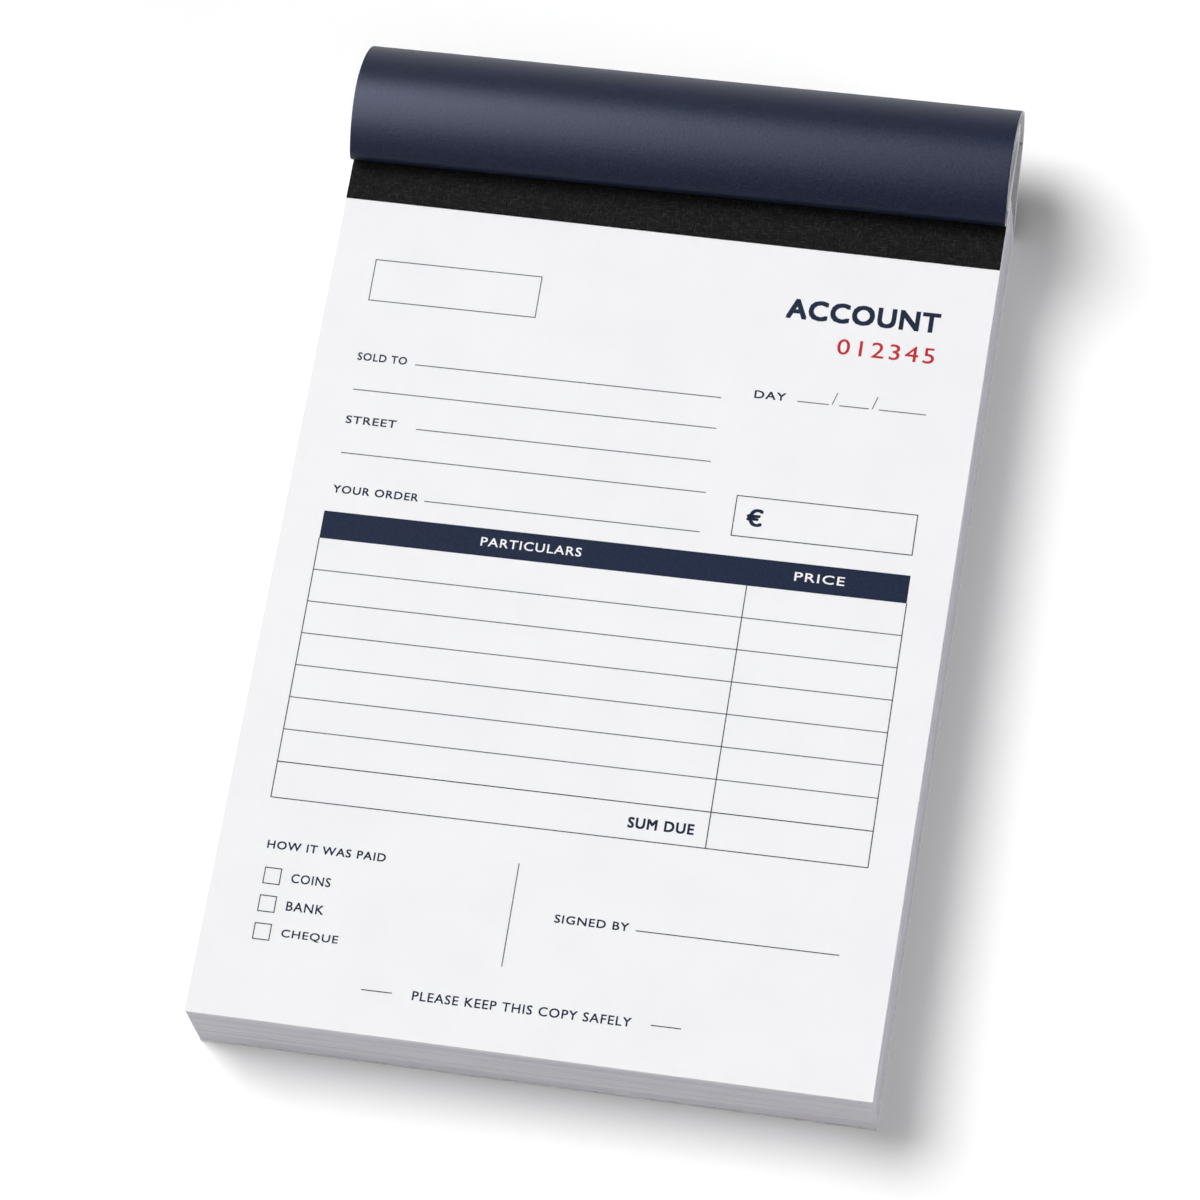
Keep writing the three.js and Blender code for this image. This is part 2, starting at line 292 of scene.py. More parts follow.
@dataclass(frozen=True)
class PaperFinish:
    """Smooth uncoated paper: a faint cloud in its white, a fine tooth, and grey cut edges."""

    name: str = "uncoated_paper"
    white: int = 0xF4F4F6
    cloud: int = 0xF2F2F5
    edge: int = 0xEFEEF3
    edge_light: int = 0xFAFAFC
    edge_depth: float = 0.02 * MM
    tooth: float = 0.01 * MM
    tooth_strength: float = 0.25
    clouds: Grain = Grain.even(60, 4, 0.4, 0.65)
    edge_lines: Grain = Grain((30, 30, 9000), 3)
    tooth_grain: Grain = Grain.even(5000, 3)
    roughness: float = 0.88
    specular: float = 0.3

    def build(self, low: Vector, high: Vector) -> bpy.types.Material:
        """Makes the material for leaves that fill a box.

        Args:
            low: The lowest corner of the leaves.
            high: The highest corner of the leaves.

        Returns:
            The material.
        """
        tree = ShaderTree(self.name)
        page = tree.mix(tree.share(self.clouds), linear(self.white), linear(self.cloud))
        edge = tree.mix(tree.noise(self.edge_lines), linear(self.edge), linear(self.edge_light))
        middle = [(a + b) / 2 for a, b in zip(low, high)]
        centred = tree.node(
            "VectorMath", {0: tree.node("TexCoord").outputs["Object"], 1: middle}, operation="SUBTRACT",
        ).outputs[0]
        outward = tree.node("VectorMath", {0: centred}, operation="ABSOLUTE").outputs[0]
        apart = tree.node("SeparateXYZ", {0: outward})
        sides = [
            tree.maths("GREATER_THAN", apart.outputs[axis], (high[axis] - low[axis]) / 2 - self.edge_depth)
            for axis in (0, 1)
        ]
        colour = tree.mix(tree.maths("MAXIMUM", *sides), page, edge)
        relief = tree.bump(tree.noise(self.tooth_grain), self.tooth, self.tooth_strength)
        return tree.finish(
            Base_Color=colour, Roughness=self.roughness, Specular_IOR_Level=self.specular, Normal=relief,
        )


@dataclass(frozen=True)
class PileFinish:
    """The trimmed faces of a pile of leaves: fine lines along each leaf, no two alike, partly painted shade
    between leaves.
    """

    name: str = "trimmed_leaves"
    light: int = 0xF8F7FB
    # The colour that the streaks darken to: partly tone that differs at random, partly painted shade in the
    # gaps between the leaves.
    dark: int = 0xDAD8E2
    band: int = 0xE4E2EA
    faintest: float = 0.35
    band_share: float = 0.4
    streaks: Grain = Grain((14, 14, 9000), 3, 0.35, 0.7)
    bands: Grain = Grain((5, 5, 700), 2, 0.45, 0.7)
    ridges: Grain = Grain((400, 400, 9000), 3)
    ridge_depth: float = 0.03 * MM
    ridge_strength: float = 0.5
    roughness: float = 0.9
    specular: float = 0.25

    def build(self) -> bpy.types.Material:
        """Makes the material.

        Returns:
            The material.
        """
        tree = ShaderTree(self.name)
        tone = tree.node("Attribute", attribute_name="tone").outputs["Fac"]
        depth = tree.spread(tone, 0.0, 1.0, self.faintest, 1.0)
        # Darker streaks along the leaves, as deep as each leaf's random tone allows: partly painted shade
        # in the gaps between the leaves.
        mixed = tree.maths("MULTIPLY", tree.share(self.streaks), depth)
        face = tree.mix(mixed, linear(self.light), linear(self.dark))
        colour = tree.mix(tree.share(self.bands, 0.0, self.band_share), face, linear(self.band))
        relief = tree.bump(tree.noise(self.ridges), self.ridge_depth, self.ridge_strength)
        return tree.finish(
            Base_Color=colour, Roughness=self.roughness, Specular_IOR_Level=self.specular, Normal=relief,
        )


@dataclass(frozen=True)
class CardFinish:
    """Cover card printed navy on its outer face: satin, with a fine grain and worn cut edges."""

    name: str = "navy_card"
    navy: int = 0x16203A
    deep: int = 0x0A1229
    worn: int = 0x3A4258
    gloss: int = 0xE2E7FF
    grain: Grain = Grain.even(2200, 3, 0.42, 0.66)
    grain_depth: float = 0.035 * MM
    swells: Grain = Grain.even(260, 2)
    swell_depth: float = 0.03 * MM
    swell_strength: float = 0.25
    wear: float = 0.06 * MM
    wear_share: float = 0.8
    ragged: Grain = Grain.even(900, 3, 0.3, 0.7)
    grain_middle: tuple[float, float] = (0.3, 0.7)
    roughness: tuple[float, float] = (0.44, 0.54)
    specular: float = 0.45

    def build(self) -> bpy.types.Material:
        """Makes the material.

        Returns:
            The material.
        """
        tree = ShaderTree(self.name)
        fine = tree.noise(self.grain)
        print_share = tree.spread(fine, self.grain.low, self.grain.high)
        print_colour = tree.mix(print_share, linear(self.deep), linear(self.navy))
        edge = tree.node("Attribute", attribute_name="edge_distance").outputs["Fac"]
        worn = tree.maths("LESS_THAN", edge, tree.maths("MULTIPLY", tree.share(self.ragged), self.wear))
        colour = tree.mix(tree.maths("MULTIPLY", worn, self.wear_share), print_colour, linear(self.worn))
        swelling = tree.bump(tree.noise(self.swells), self.swell_depth, self.swell_strength)
        return tree.finish(
            Base_Color=colour, Roughness=tree.spread(fine, *self.grain_middle, *self.roughness),
            Specular_IOR_Level=self.specular, Specular_Tint=linear(self.gloss),
            Normal=tree.bump(fine, self.grain_depth, 1.0, swelling),
        )


@dataclass(frozen=True)
class PlainFinish:
    """A matt stock with flecks: the card's inside, its cut core, grey board, or dried glue."""

    name: str
    main: int
    fleck: int
    repeats: tuple[float, float, float]
    roughness: float
    depth: float = 0.02 * MM
    detail: float = 4
    fleck_spread: tuple[float, float] = (0.42, 0.68)
    strength: float = 0.4
    specular: float = 0.3

    def build(self) -> bpy.types.Material:
        """Makes the material.

        Returns:
            The material.
        """
        tree = ShaderTree(self.name)
        pattern = tree.noise(Grain(self.repeats, self.detail))
        flecks = tree.spread(pattern, *self.fleck_spread)
        return tree.finish(
            Base_Color=tree.mix(flecks, linear(self.main), linear(self.fleck)), Roughness=self.roughness,
            Specular_IOR_Level=self.specular, Normal=tree.bump(pattern, self.depth, self.strength),
        )


GREY_BOARD = PlainFinish(
    "grey_board", main=0xE4E2E6, fleck=0xC4C1C4, repeats=(700, 700, 2600), roughness=0.92, depth=0.03 * MM,
)
DRIED_GLUE = PlainFinish(
    "dried_glue", main=0xECEAE6, fleck=0xDFDCD5, repeats=(500, 500, 500), roughness=0.5,
)
CARD_INSIDE = PlainFinish(
    "card_inside", main=0xF4F3F7, fleck=0xEAE9EF, repeats=(1200, 1200, 1200), roughness=0.8,
)
CARD_CORE = PlainFinish(
    "card_core", main=0xF8F8FA, fleck=0xECECF0, repeats=(3000, 3000, 3000), roughness=0.9,
)


@dataclass(frozen=True)
class ClothFinish:
    """Matt black book cloth: a close weave with loose pale fibres."""

    name: str = "black_book_cloth"
    black: int = 0x0B0C0B
    thread: int = 0x1A1B1A
    fibre: int = 0x3E403E
    pitch: float = 0.42 * MM
    ways: tuple[str, str] = ("X", "DIAGONAL")
    waver: float = 1.6
    waver_detail: float = 2.0
    waver_scale: float = 0.6
    weave_depth: float = 0.05 * MM
    weave_strength: float = 0.6
    thin_spots: Grain = Grain.even(700, 3, 0.35, 0.7)
    thinnest: float = 0.2
    fibres: tuple[Grain, Grain] = (Grain((600, 5200, 5200), 3), Grain((5200, 700, 5200), 3))
    fibre_spread: tuple[float, float] = (0.56, 0.76)
    fibre_share: float = 0.7
    fibre_depth: float = 0.04 * MM
    fibre_strength: float = 0.4
    roughness: float = 0.92
    specular: float = 0.08
    sheen: float = 0.03
    sheen_roughness: float = 0.5

    def build(self) -> bpy.types.Material:
        """Makes the material.

        Returns:
            The material.
        """
        tree = ShaderTree(self.name)
        straying = (self.waver, self.waver_detail, self.waver_scale)
        weave = tree.maths("MAXIMUM", *(tree.threads(self.pitch, way, *straying) for way in self.ways))
        body = tree.maths("MULTIPLY", weave, tree.share(self.thin_spots, self.thinnest, 1.0))
        cloth = tree.mix(body, linear(self.black), linear(self.thread))
        strands = tree.maths("MAXIMUM", *(tree.noise(grain) for grain in self.fibres))
        loose = tree.spread(strands, *self.fibre_spread, 0.0, self.fibre_share)
        woven = tree.bump(body, self.weave_depth, self.weave_strength)
        return tree.finish(
            Base_Color=tree.mix(loose, cloth, linear(self.fibre)), Roughness=self.roughness,
            Specular_IOR_Level=self.specular, Sheen_Weight=self.sheen, Sheen_Roughness=self.sheen_roughness,
            Normal=tree.bump(strands, self.fibre_depth, self.fibre_strength, woven),
        )


@dataclass(frozen=True)
class WireFinish:
    """Galvanised stitching wire with drawing marks."""

    name: str = "stitching_wire"
    bright: int = 0xC9CDD2
    dull: int = 0x9AA0A6
    marks: Grain = Grain((2500, 9000, 2500), 3, 0.3, 0.7)
    mark_depth: float = 0.01 * MM
    mark_strength: float = 0.4
    roughness: tuple[float, float] = (0.25, 0.45)

    def build(self) -> bpy.types.Material:
        """Makes the material.

        Returns:
            The material.
        """
        tree = ShaderTree(self.name)
        marks = tree.noise(self.marks)
        return tree.finish(
            Base_Color=tree.mix(marks, linear(self.bright), linear(self.dull)), Metallic=1.0,
            Roughness=tree.spread(marks, self.marks.low, self.marks.high, *self.roughness),
            Normal=tree.bump(marks, self.mark_depth, self.mark_strength),
        )


INK_LAY = Grain.even(2600, 3, 0.4, 0.75)
INK_ROUGHNESS = 0.8
INK_SPECULAR = 0.12


class Ink(Enum):
    """The inks of the form, each with its colour and the colour of its thin spots."""

    NAVY = (0x18233C, 0x202C46)
    GREY = (0x4A4E57, 0x62666F)
    DARK = (0x262A33, 0x3A3E48)
    RED = (0xBC1C24, 0xC9343B)
    BARE = (0xF4F4F6, 0xE9EAF0)

    def build(self) -> bpy.types.Material:
        """Makes the ink's material.

        Returns:
            The material.
        """
        full, thin = (linear(code) for code in self.value)
        tree = ShaderTree("ink_" + self.name.lower())
        return tree.finish(
            Base_Color=tree.mix(tree.share(INK_LAY), full, thin), Roughness=INK_ROUGHNESS,
            Specular_IOR_Level=INK_SPECULAR,
        )


def piece_from(mesh: bpy.types.Mesh, name: str, body: str, slot: str) -> bpy.types.Object:
    """Makes an object of a mesh and lets it ride on a body.

    Args:
        mesh: The finished mesh, in its place.
        name: The name of the piece.
        body: The body that carries it.
        slot: The record's material slot; not used.

    Returns:
        The object.
    """
    made = bpy.data.objects.new(name, mesh)
    bpy.context.scene.collection.objects.link(made)
    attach(made, body)
    log.info("%s: %d faces, rides on %s", name, len(mesh.polygons), body)
    return made


def dress(node: str, material: bpy.types.Material) -> None:
    """Gives a node of the frame its finish.

    Args:
        node: The name of the node.
        material: The finish.
    """
    held = frame["nodes"][node]
    held.data.materials.clear()
    held.data.materials.append(material)
    log.info("%s: dressed in %s", node, material.name)


@dataclass
class CopiesAlongLine:
    """A Geometry Nodes tree that lays copies of a mesh at even steps, each a little out of line."""

    name: str = "copies_along_a_line"
    seed: int = 7
    tree: bpy.types.NodeTree = field(init=False)
    sockets: dict[str, str] = field(init=False, default_factory=dict)

    def __post_init__(self) -> None:
        """Builds the tree once, for every mesh that is repeated."""
        self.tree = bpy.data.node_groups.new(self.name, "GeometryNodeTree")
        kinds = {
            "Geometry": "NodeSocketGeometry", "Count": "NodeSocketInt", "Step": "NodeSocketVector",
            "Jog": "NodeSocketVector", "Seed": "NodeSocketInt", "Finish": "NodeSocketMaterial",
        }
        for label, kind in kinds.items():
            socket = self.tree.interface.new_socket(label, in_out="INPUT", socket_type=kind)
            self.sockets[label] = socket.identifier
        self.tree.interface.new_socket("Geometry", in_out="OUTPUT", socket_type="NodeSocketGeometry")
        given = self.tree.nodes.new("NodeGroupInput").outputs
        line = self.add("GeometryNodeMeshLine", {"Count": given["Count"], "Offset": given["Step"]})
        copies = self.add(
            "GeometryNodeInstanceOnPoints", {"Points": line.outputs["Mesh"], "Instance": given["Geometry"]},
        )
        back = self.add("ShaderNodeVectorMath", {0: given["Jog"], 1: (-1, -1, -1)}, operation="MULTIPLY")
        stray = self.add(
            "FunctionNodeRandomValue",
            {"Min": back.outputs[0], "Max": given["Jog"], "Seed": given["Seed"]}, data_type="FLOAT_VECTOR",
        )
        moved = self.add(
            "GeometryNodeTranslateInstances",
            {"Instances": copies.outputs["Instances"], "Translation": stray.outputs["Value"]},
        )
        shade = self.add("FunctionNodeRandomValue", {}, data_type="FLOAT")
        shade.inputs["Seed"].default_value = self.seed
        toned = self.add(
            "GeometryNodeStoreNamedAttribute",
            {"Geometry": moved.outputs["Instances"], "Name": "tone"}, data_type="FLOAT", domain="INSTANCE",
        )
        value = next(s for s in toned.inputs if s.name == "Value" and s.enabled)
        number = next(s for s in shade.outputs if s.name == "Value" and s.enabled)
        self.tree.links.new(number, value)
        real = self.add("GeometryNodeRealizeInstances", {"Geometry": toned.outputs["Geometry"]})
        finished = self.add(
            "GeometryNodeSetMaterial", {"Geometry": real.outputs["Geometry"], "Material": given["Finish"]},
        )
        self.add("NodeGroupOutput", {"Geometry": finished.outputs["Geometry"]})

    def add(self, kind: str, inputs: dict, **settings: object) -> bpy.types.Node:
        """Adds a node to the tree.

        Args:
            kind: The node's type.
            inputs: Values or output sockets for its inputs, by name or number.
            **settings: Properties of the node.

        Returns:
            The new node.
        """
        made = self.tree.nodes.new(kind)
        for key, value in settings.items():
            setattr(made, key, value)
        for key, value in inputs.items():
            socket = made.inputs[key]
            if isinstance(key, str):
                socket = next(s for s in made.inputs if s.name == key and s.enabled)
            if isinstance(value, bpy.types.NodeSocket):
                self.tree.links.new(value, socket)
            else:
                socket.default_value = value
        return made

    def lay(
        self, mesh: bpy.types.Mesh, count: int, step: Vector, finish: bpy.types.Material,
        jog: Vector = Vector((0, 0, 0)),
    ) -> bpy.types.Mesh:
        """Repeats a mesh.

        Args:
            mesh: The mesh in its first place.
            count: How many copies there are, the first included.
            step: The way from one copy to the next.
            finish: The material of all of them.
            jog: How far a copy may stray along each axis.

        Returns:
            One plain mesh of all the copies.
        """
        holder = bpy.data.objects.new(mesh.name, mesh)
        bpy.context.scene.collection.objects.link(holder)
        modifier = holder.modifiers.new(self.name, "NODES")
        modifier.node_group = self.tree
        values = {"Count": count, "Step": step, "Jog": jog, "Seed": self.seed, "Finish": finish}
        for label, value in values.items():
            modifier[self.sockets[label]] = value
        evaluated = holder.evaluated_get(bpy.context.evaluated_depsgraph_get())
        laid = bpy.data.meshes.new_from_object(evaluated)
        holder.modifiers.remove(modifier)
        bpy.data.objects.remove(holder)
        return laid


def plate(
    name: str, low: Vector, high: Vector, holes: Sequence[tuple[Vector, Vector]] = (),
) -> bpy.types.Mesh:
    """A flat plate with rectangular holes through it.

    Args:
        name: The name of the mesh.
        low: Its lowest corner.
        high: Its highest corner.
        holes: The lowest and the highest corner of each hole, all in one row across the plate.

    Returns:
        The mesh.
    """
    marks_x = sorted({low.x, high.x} | {c.x for hole in holes for c in hole})
    marks_y = sorted({low.y, high.y} | {c.y for hole in holes for c in hole})
    build = bmesh.new()
    corners = {(x, y): build.verts.new((x, y, high.z)) for x in marks_x for y in marks_y}
    for x0, x1 in zip(marks_x, marks_x[1:]):
        for y0, y1 in zip(marks_y, marks_y[1:]):
            middle = Vector(((x0 + x1) / 2, (y0 + y1) / 2))
            if any(a.x < middle.x < b.x and a.y < middle.y < b.y for a, b in holes):
                continue
            build.faces.new([corners[x0, y0], corners[x1, y0], corners[x1, y1], corners[x0, y1]])
    top = list(build.faces)
    under = bmesh.ops.extrude_face_region(build, geom=top)
    moved = [v for v in under["geom"] if isinstance(v, bmesh.types.BMVert)]
    bmesh.ops.translate(build, verts=moved, vec=(0, 0, low.z - high.z))
    bmesh.ops.recalc_face_normals(build, faces=build.faces)
    mesh = bpy.data.meshes.new(name)
    build.to_mesh(mesh)
    build.free()
    return mesh


class StripFace(IntEnum):
    """The faces of a bent strip, in the order of its materials."""

    OUTSIDE = 0
    INSIDE = 1
    CUT = 2


@dataclass(frozen=True)
class Waves:
    """A gentle unevenness: waves over a face, each with its turns across and along it and its start."""

    depth: float = 0.0
    parts: tuple[tuple[float, float, float], ...] = ()

    def at(self, x: float, along: float) -> float:
        """How far the face is pressed in at a place, from nothing to the whole depth."""
        waves = [math.sin(x * across + along * onward + start) for across, onward, start in self.parts]
        return self.depth * (1 + sum(waves) / max(1, len(waves))) / 2


@dataclass
class CardStrip:
    """A bent strip of card, cloth or the like, run across the page on a line in the (Y, Z) plane.

    Its outer face lies on the right of the line. An end may be rounded, so that it turns on a fold, or
    bevelled, so that its inner face reaches further than its outer one.
    """

    line: list[Vector]
    thickness: float
    half_width: float
    columns: int = 24
    round_start: bool = False
    round_end: bool = False
    fold_slack: float = 0.0
    end_bevel: float = 0.0
    cap_steps: int = 6
    rim: float = 0.25 * MM
    skew: float = 0.0
    skew_ramp: float = 10 * MM

    def lean(self, x: float, along: float) -> float:
        """How far the strip lies forward of its line, which is most at its left side.

        Args:
            x: The place across the page.
            along: The distance along the line.

        Returns:
            The way forward, which grows smoothly from the start of the line.
        """
        ramp = min(1.0, along / self.skew_ramp)
        return self.skew * ramp ** 2 * (3 - 2 * ramp) * (self.half_width - x) / (2 * self.half_width)

    def across(self) -> list[float]:
        """The places of the columns across the page, with two close to each end.

        Returns:
            The places, from left to right.
        """
        inner = self.half_width - 2 * self.rim
        middle = [inner * (2 * i / self.columns - 1) for i in range(self.columns + 1)]
        ends = [self.half_width, self.half_width - self.rim]
        return [-x for x in ends] + middle + ends[::-1]

    def rights(self) -> list[Vector]:
        """The way to the right of the line at each of its points.

        Returns:
            Unit vectors, square to the line.
        """
        ways = [(b - a).normalized() for a, b in zip(self.line, self.line[1:])]
        found = []
        for i in range(len(self.line)):
            along = (ways[max(i - 1, 0)] + ways[min(i, len(ways) - 1)]).normalized()
            found.append(Vector((along.y, -along.x)))
        return found

    def run(self) -> list[float]:
        """The distance of each point from the start of the line.

        Returns:
            The distances.
        """
        found = [0.0]
        for a, b in zip(self.line, self.line[1:]):
            found.append(found[-1] + (b - a).length)
        return found

    def cap(self, at: int, reverse: bool) -> list[Vector]:
        """The points of a rounded or bevelled end, from its outer to its inner face.

        Args:
            at: The number of the end point of the line.
            reverse: True at the start, where the round points backwards.

        Returns:
            The points between the two faces.
        """
        right = self.rights()[at]
        ahead = Vector((-right.y, right.x)) * (-1 if reverse else 1)
        radius = self.thickness / 2 - self.fold_slack
        if self.end_bevel:
            return [self.line[at] + ahead * self.end_bevel - right * radius]
        turns = [math.pi * k / self.cap_steps for k in range(1, self.cap_steps)]
        end = self.line[at]
        return [end + right * (radius * math.cos(a)) + ahead * (radius * math.sin(a)) for a in turns]

    def mesh(self, name: str, waves: Waves = Waves(), free_end: float | None = None) -> bpy.types.Mesh:
        """Builds the strip, with a material for its outside, its inside and its cut edges.

        Args:
            name: The name of the mesh.
            waves: How far both faces are pressed inwards.
            free_end: The distance along the line of its cut end, or none.

        Returns:
            The closed mesh, with the distance to the nearest cut edge as an attribute.
        """
        xs, rights, run = self.across(), self.rights(), self.run()
        build = bmesh.new()
        edge = build.verts.layers.float.new("edge_distance")

        def row(at: Vector, right: Vector, offset: float, along: float) -> list[bmesh.types.BMVert]:
            """Adds a row of vertices across the page.

            Args:
                at: The point of the line, or of a rounded end.
                right: The way to the right of the line, or nothing at a rounded end.
                offset: How far to the right the row lies.
                along: The distance along the line.

            Returns:
                The vertices, from left to right.
            """
            made = []
            for x in xs:
                place = at + right * (offset - waves.at(x, along))
                vert = build.verts.new((x, place.x - self.lean(x, along), place.y))
                near = self.half_width - abs(x)
                vert[edge] = near if free_end is None else min(near, abs(free_end - along))
                made.append(vert)
            return made

        half = self.thickness / 2
        outer = [row(p, r, half, d) for p, r, d in zip(self.line, rights, run)]
        inner = [row(p, r, -half, d) for p, r, d in zip(self.line, rights, run)]

        def skin(first: list, second: list, side: StripFace) -> None:
            """Joins two rows by a strip of faces.

            Args:
                first: The first row of vertices.
                second: The second row.
                side: The face of the strip that they are on.
            """
            for j in range(len(xs) - 1):
                face = build.faces.new([first[j], second[j], second[j + 1], first[j + 1]])
                face.material_index = side
                face.smooth = side is not StripFace.CUT

        for i in range(len(self.line) - 1):
            skin(outer[i], outer[i + 1], StripFace.OUTSIDE)
            skin(inner[i + 1], inner[i], StripFace.INSIDE)
            for j, step in ((0, 1), (-1, -1)):
                quad = [outer[i][j], inner[i][j], inner[i + 1][j], outer[i + 1][j]][::step]
                build.faces.new(quad).material_index = StripFace.CUT
        for at, rounded, reverse in ((0, self.round_start, True), (-1, self.round_end, False)):
            rows = [outer[at]]
            if rounded:
                zero = Vector((0, 0))
                rows += [row(p, zero, 0.0, run[at]) for p in self.cap(at, reverse)]
            rows.append(inner[at])
            if reverse:
                rows.reverse()
            for first, second in zip(rows, rows[1:]):
                skin(first, second, StripFace.OUTSIDE if rounded else StripFace.CUT)
            for j, step in ((0, 1), (-1, -1)):
                if len(rows) > 2:
                    build.faces.new([r[j] for r in rows][::step]).material_index = StripFace.CUT
        bmesh.ops.recalc_face_normals(build, faces=build.faces)
        mesh = bpy.data.meshes.new(name)
        build.to_mesh(mesh)
        build.free()
        return mesh


@dataclass
class Bend:
    """A round bend of the rolled card, with the radius of the card's middle."""

    centre: Vector
    radius: float

    def tightened(self, by: float) -> "Bend":
        """The same bend of a turn further in."""
        return Bend(self.centre, self.radius - by)

    def tangent(self, other: "Bend") -> tuple[Vector, Vector, float]:
        """The straight stretch from this bend to the next one.

        Args:
            other: The next bend.

        Returns:
            Where it leaves this bend, where it meets the other, and the angle of its outer side.
        """
        way = other.centre - self.centre
        along = (self.radius - other.radius) / way.length
        unit = way.normalized()
        normal = Vector((unit.y, -unit.x)) * math.sqrt(max(0.0, 1 - along ** 2)) + unit * along
        leave, meet = self.centre + normal * self.radius, other.centre + normal * other.radius
        return leave, meet, math.atan2(normal.y, normal.x)

    def bridge(self, other: "Bend", ease: float) -> "Bend":
        """A wide bend that runs from this bend into the next one without a straight stretch.

        Args:
            other: The next bend.
            ease: How much wider it is than the tightest one that reaches round both.

        Returns:
            The wide bend, which touches both from outside.
        """
        way = other.centre - self.centre
        radius = (self.radius + other.radius + way.length) / 2 + ease
        here, there = radius - self.radius, radius - other.radius
        along = (here ** 2 - there ** 2 + way.length ** 2) / (2 * way.length)
        unit = way.normalized()
        aside = Vector((-unit.y, unit.x)) * math.sqrt(here ** 2 - along ** 2)
        return Bend(self.centre + unit * along + aside, radius)


@dataclass
class RolledCover:
    """The wrap-around card cover: back panel, spine panel and the rolled front panel."""

    card: float = 0.3 * MM
    spine_clearance: float = 0.35 * MM
    seat_gap: float = 0.3 * MM
    height: float = 12.78 * MM
    overlap: float = 8.6 * MM
    top_setback: float = 5 * MM
    reach: float = 22 * MM
    near_radius: float = 3.4 * MM
    top_radius: float = 12.4 * MM
    far_radius: float = 8.2 * MM
    tuck_radius: float = 4 * MM
    inner_near_radius: float = 4 * MM
    ease: float = 5 * MM
    turn_gap: float = 0.45 * MM
    arc_step: float = math.radians(2)
    straight_step: float = 1.0 * MM
    same_place: float = 0.001 * MM
    fold_slack: float = 0.004 * MM
    waver: Waves = Waves(0.05 * MM, ((31, 11, 0.0), (67, -23, 1.3)))
    skew: float = 1.2 * MM
    back_body: str = "pad"
    spine_body: str = "cover_spine"
    roll_body: str = "cover_roll"
    slot: str = "cover_card"

    def __post_init__(self) -> None:
        """Takes the places that the cover is fitted to from the frame."""
        tape_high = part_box("binding_tape")[1]
        self.spine_y, self.tape_top = tape_high.y, tape_high.z
        self.front_y, self.half_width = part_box("back_cover")[0].y, tape_high.x
        self.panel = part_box("stub_1")[1].z + (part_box("leaf_1")[0].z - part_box("leaf_2")[1].z)
        self.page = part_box("leaf_pack_01")[1].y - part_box("leaf_pack_01")[0].y
        self.lower_fold = Vector((self.spine_y + self.spine_clearance, self.card / 2))

    def bend(self, y: float, z: float, radius: float) -> Bend:
        """A bend given by its centre and the radius of its outer face."""
        return Bend(Vector((y, z)), radius - self.card / 2)

    def far_bend(self) -> Bend:
        """Finds the low rear bend, which the spine panel runs into at the height that its length gives.

        Returns:
            The bend.
        """
        y = self.spine_y + self.reach - self.far_radius
        radius = self.far_radius - self.card / 2
        up = math.sqrt(self.panel ** 2 + radius ** 2 - (y - self.lower_fold.x) ** 2)
        return self.bend(y, self.lower_fold.y + up, self.far_radius)

    def top_bend(self) -> Bend:
        """The bend over the top of the roll."""
        z = self.tape_top + self.height - self.top_radius
        return self.bend(self.spine_y + self.top_setback, z, self.top_radius)

    def near_bend(self) -> Bend:
        """The front bend, which leans on the tape."""
        y = self.spine_y - self.overlap + self.near_radius
        return self.bend(y, self.tape_top + self.seat_gap + self.near_radius, self.near_radius)

    def tucked_bend(self, outer: tuple[Vector, Vector, float], height: float, radius: float) -> Bend:
        """A bend of the tucked turns, a turn inside a straight stretch of the outer turn.

        Args:
            outer: The straight stretch.
            height: The height of the bend's underside over the tape.
            radius: The radius of its outer face.

        Returns:
            The bend.
        """
        leave, _, angle = outer
        normal = Vector((math.cos(angle), math.sin(angle)))
        z = self.tape_top + height + radius
        reach = leave.dot(normal) - self.pitch - (radius - self.card / 2)
        return self.bend((reach - z * normal.y) / normal.x, z, radius)

    def tuck_bend(self) -> Bend:
        """The lower rear bend of the tucked turns."""
        return self.tucked_bend(self.far_bend().tangent(self.top_bend()), self.seat_gap, self.tuck_radius)

    def inner_near_bend(self) -> Bend:
        """The front bend of the tucked turns."""
        outer = self.top_bend().tangent(self.near_bend())
        return self.tucked_bend(outer, self.seat_gap + self.pitch, self.inner_near_radius)

    @property
    def pitch(self) -> float:
        """The distance from one turn to the next."""
        return self.card + self.turn_gap

    def bends(self) -> Iterator[Bend]:
        """The bends in the order that the card meets them, each tucked turn a pitch tighter.

        Returns:
            The bends, without end.
        """
        far, top, near = self.far_bend(), self.top_bend(), self.near_bend()
        yield from (far, far.bridge(top, self.ease), top, top.bridge(near, self.ease), near)
        turn = 0
        while True:
            yield self.tuck_bend().tightened(turn * self.pitch)
            yield self.top_bend().tightened((turn + 1) * self.pitch)
            yield self.inner_near_bend().tightened(turn * self.pitch)
            turn += 1

    def whole_line(self) -> list[Vector]:
        """The middle line of the spine panel and the front panel, finely stepped.

        Returns:
            Its points, from the lower fold on.
        """
        order = self.bends()
        bend = next(order)
        leave, meet, angle = Bend(self.lower_fold, 0.0).tangent(bend)
        line = [leave]
        self.add_straight(line, meet)
        run = (meet - leave).length
        while run < self.panel + self.page:
            start = len(line) - 1
            following = next(order)
            leave, meet, turned = bend.tangent(following)
            sweep = (turned - angle) % (2 * math.pi)
            steps = max(1, math.ceil(sweep / self.arc_step))
            for k in range(1, steps + 1):
                at = angle + sweep * k / steps
                line.append(bend.centre + Vector((math.cos(at), math.sin(at))) * bend.radius)
            self.add_straight(line, meet)
            run += sum((b - a).length for a, b in zip(line[start:], line[start + 1:]))
            bend, angle = following, turned
        return line

    def add_straight(self, line: list[Vector], end: Vector) -> None:
        """Adds a straight stretch to a line, in short steps, or nothing where two bends touch.

        Args:
            line: The line, which is made longer.
            end: Where the stretch ends.
        """
        start = line[-1]
        if (end - start).length < self.same_place:
            return
        steps = math.ceil((end - start).length / self.straight_step)
        line += [start.lerp(end, k / steps) for k in range(1, steps + 1)]

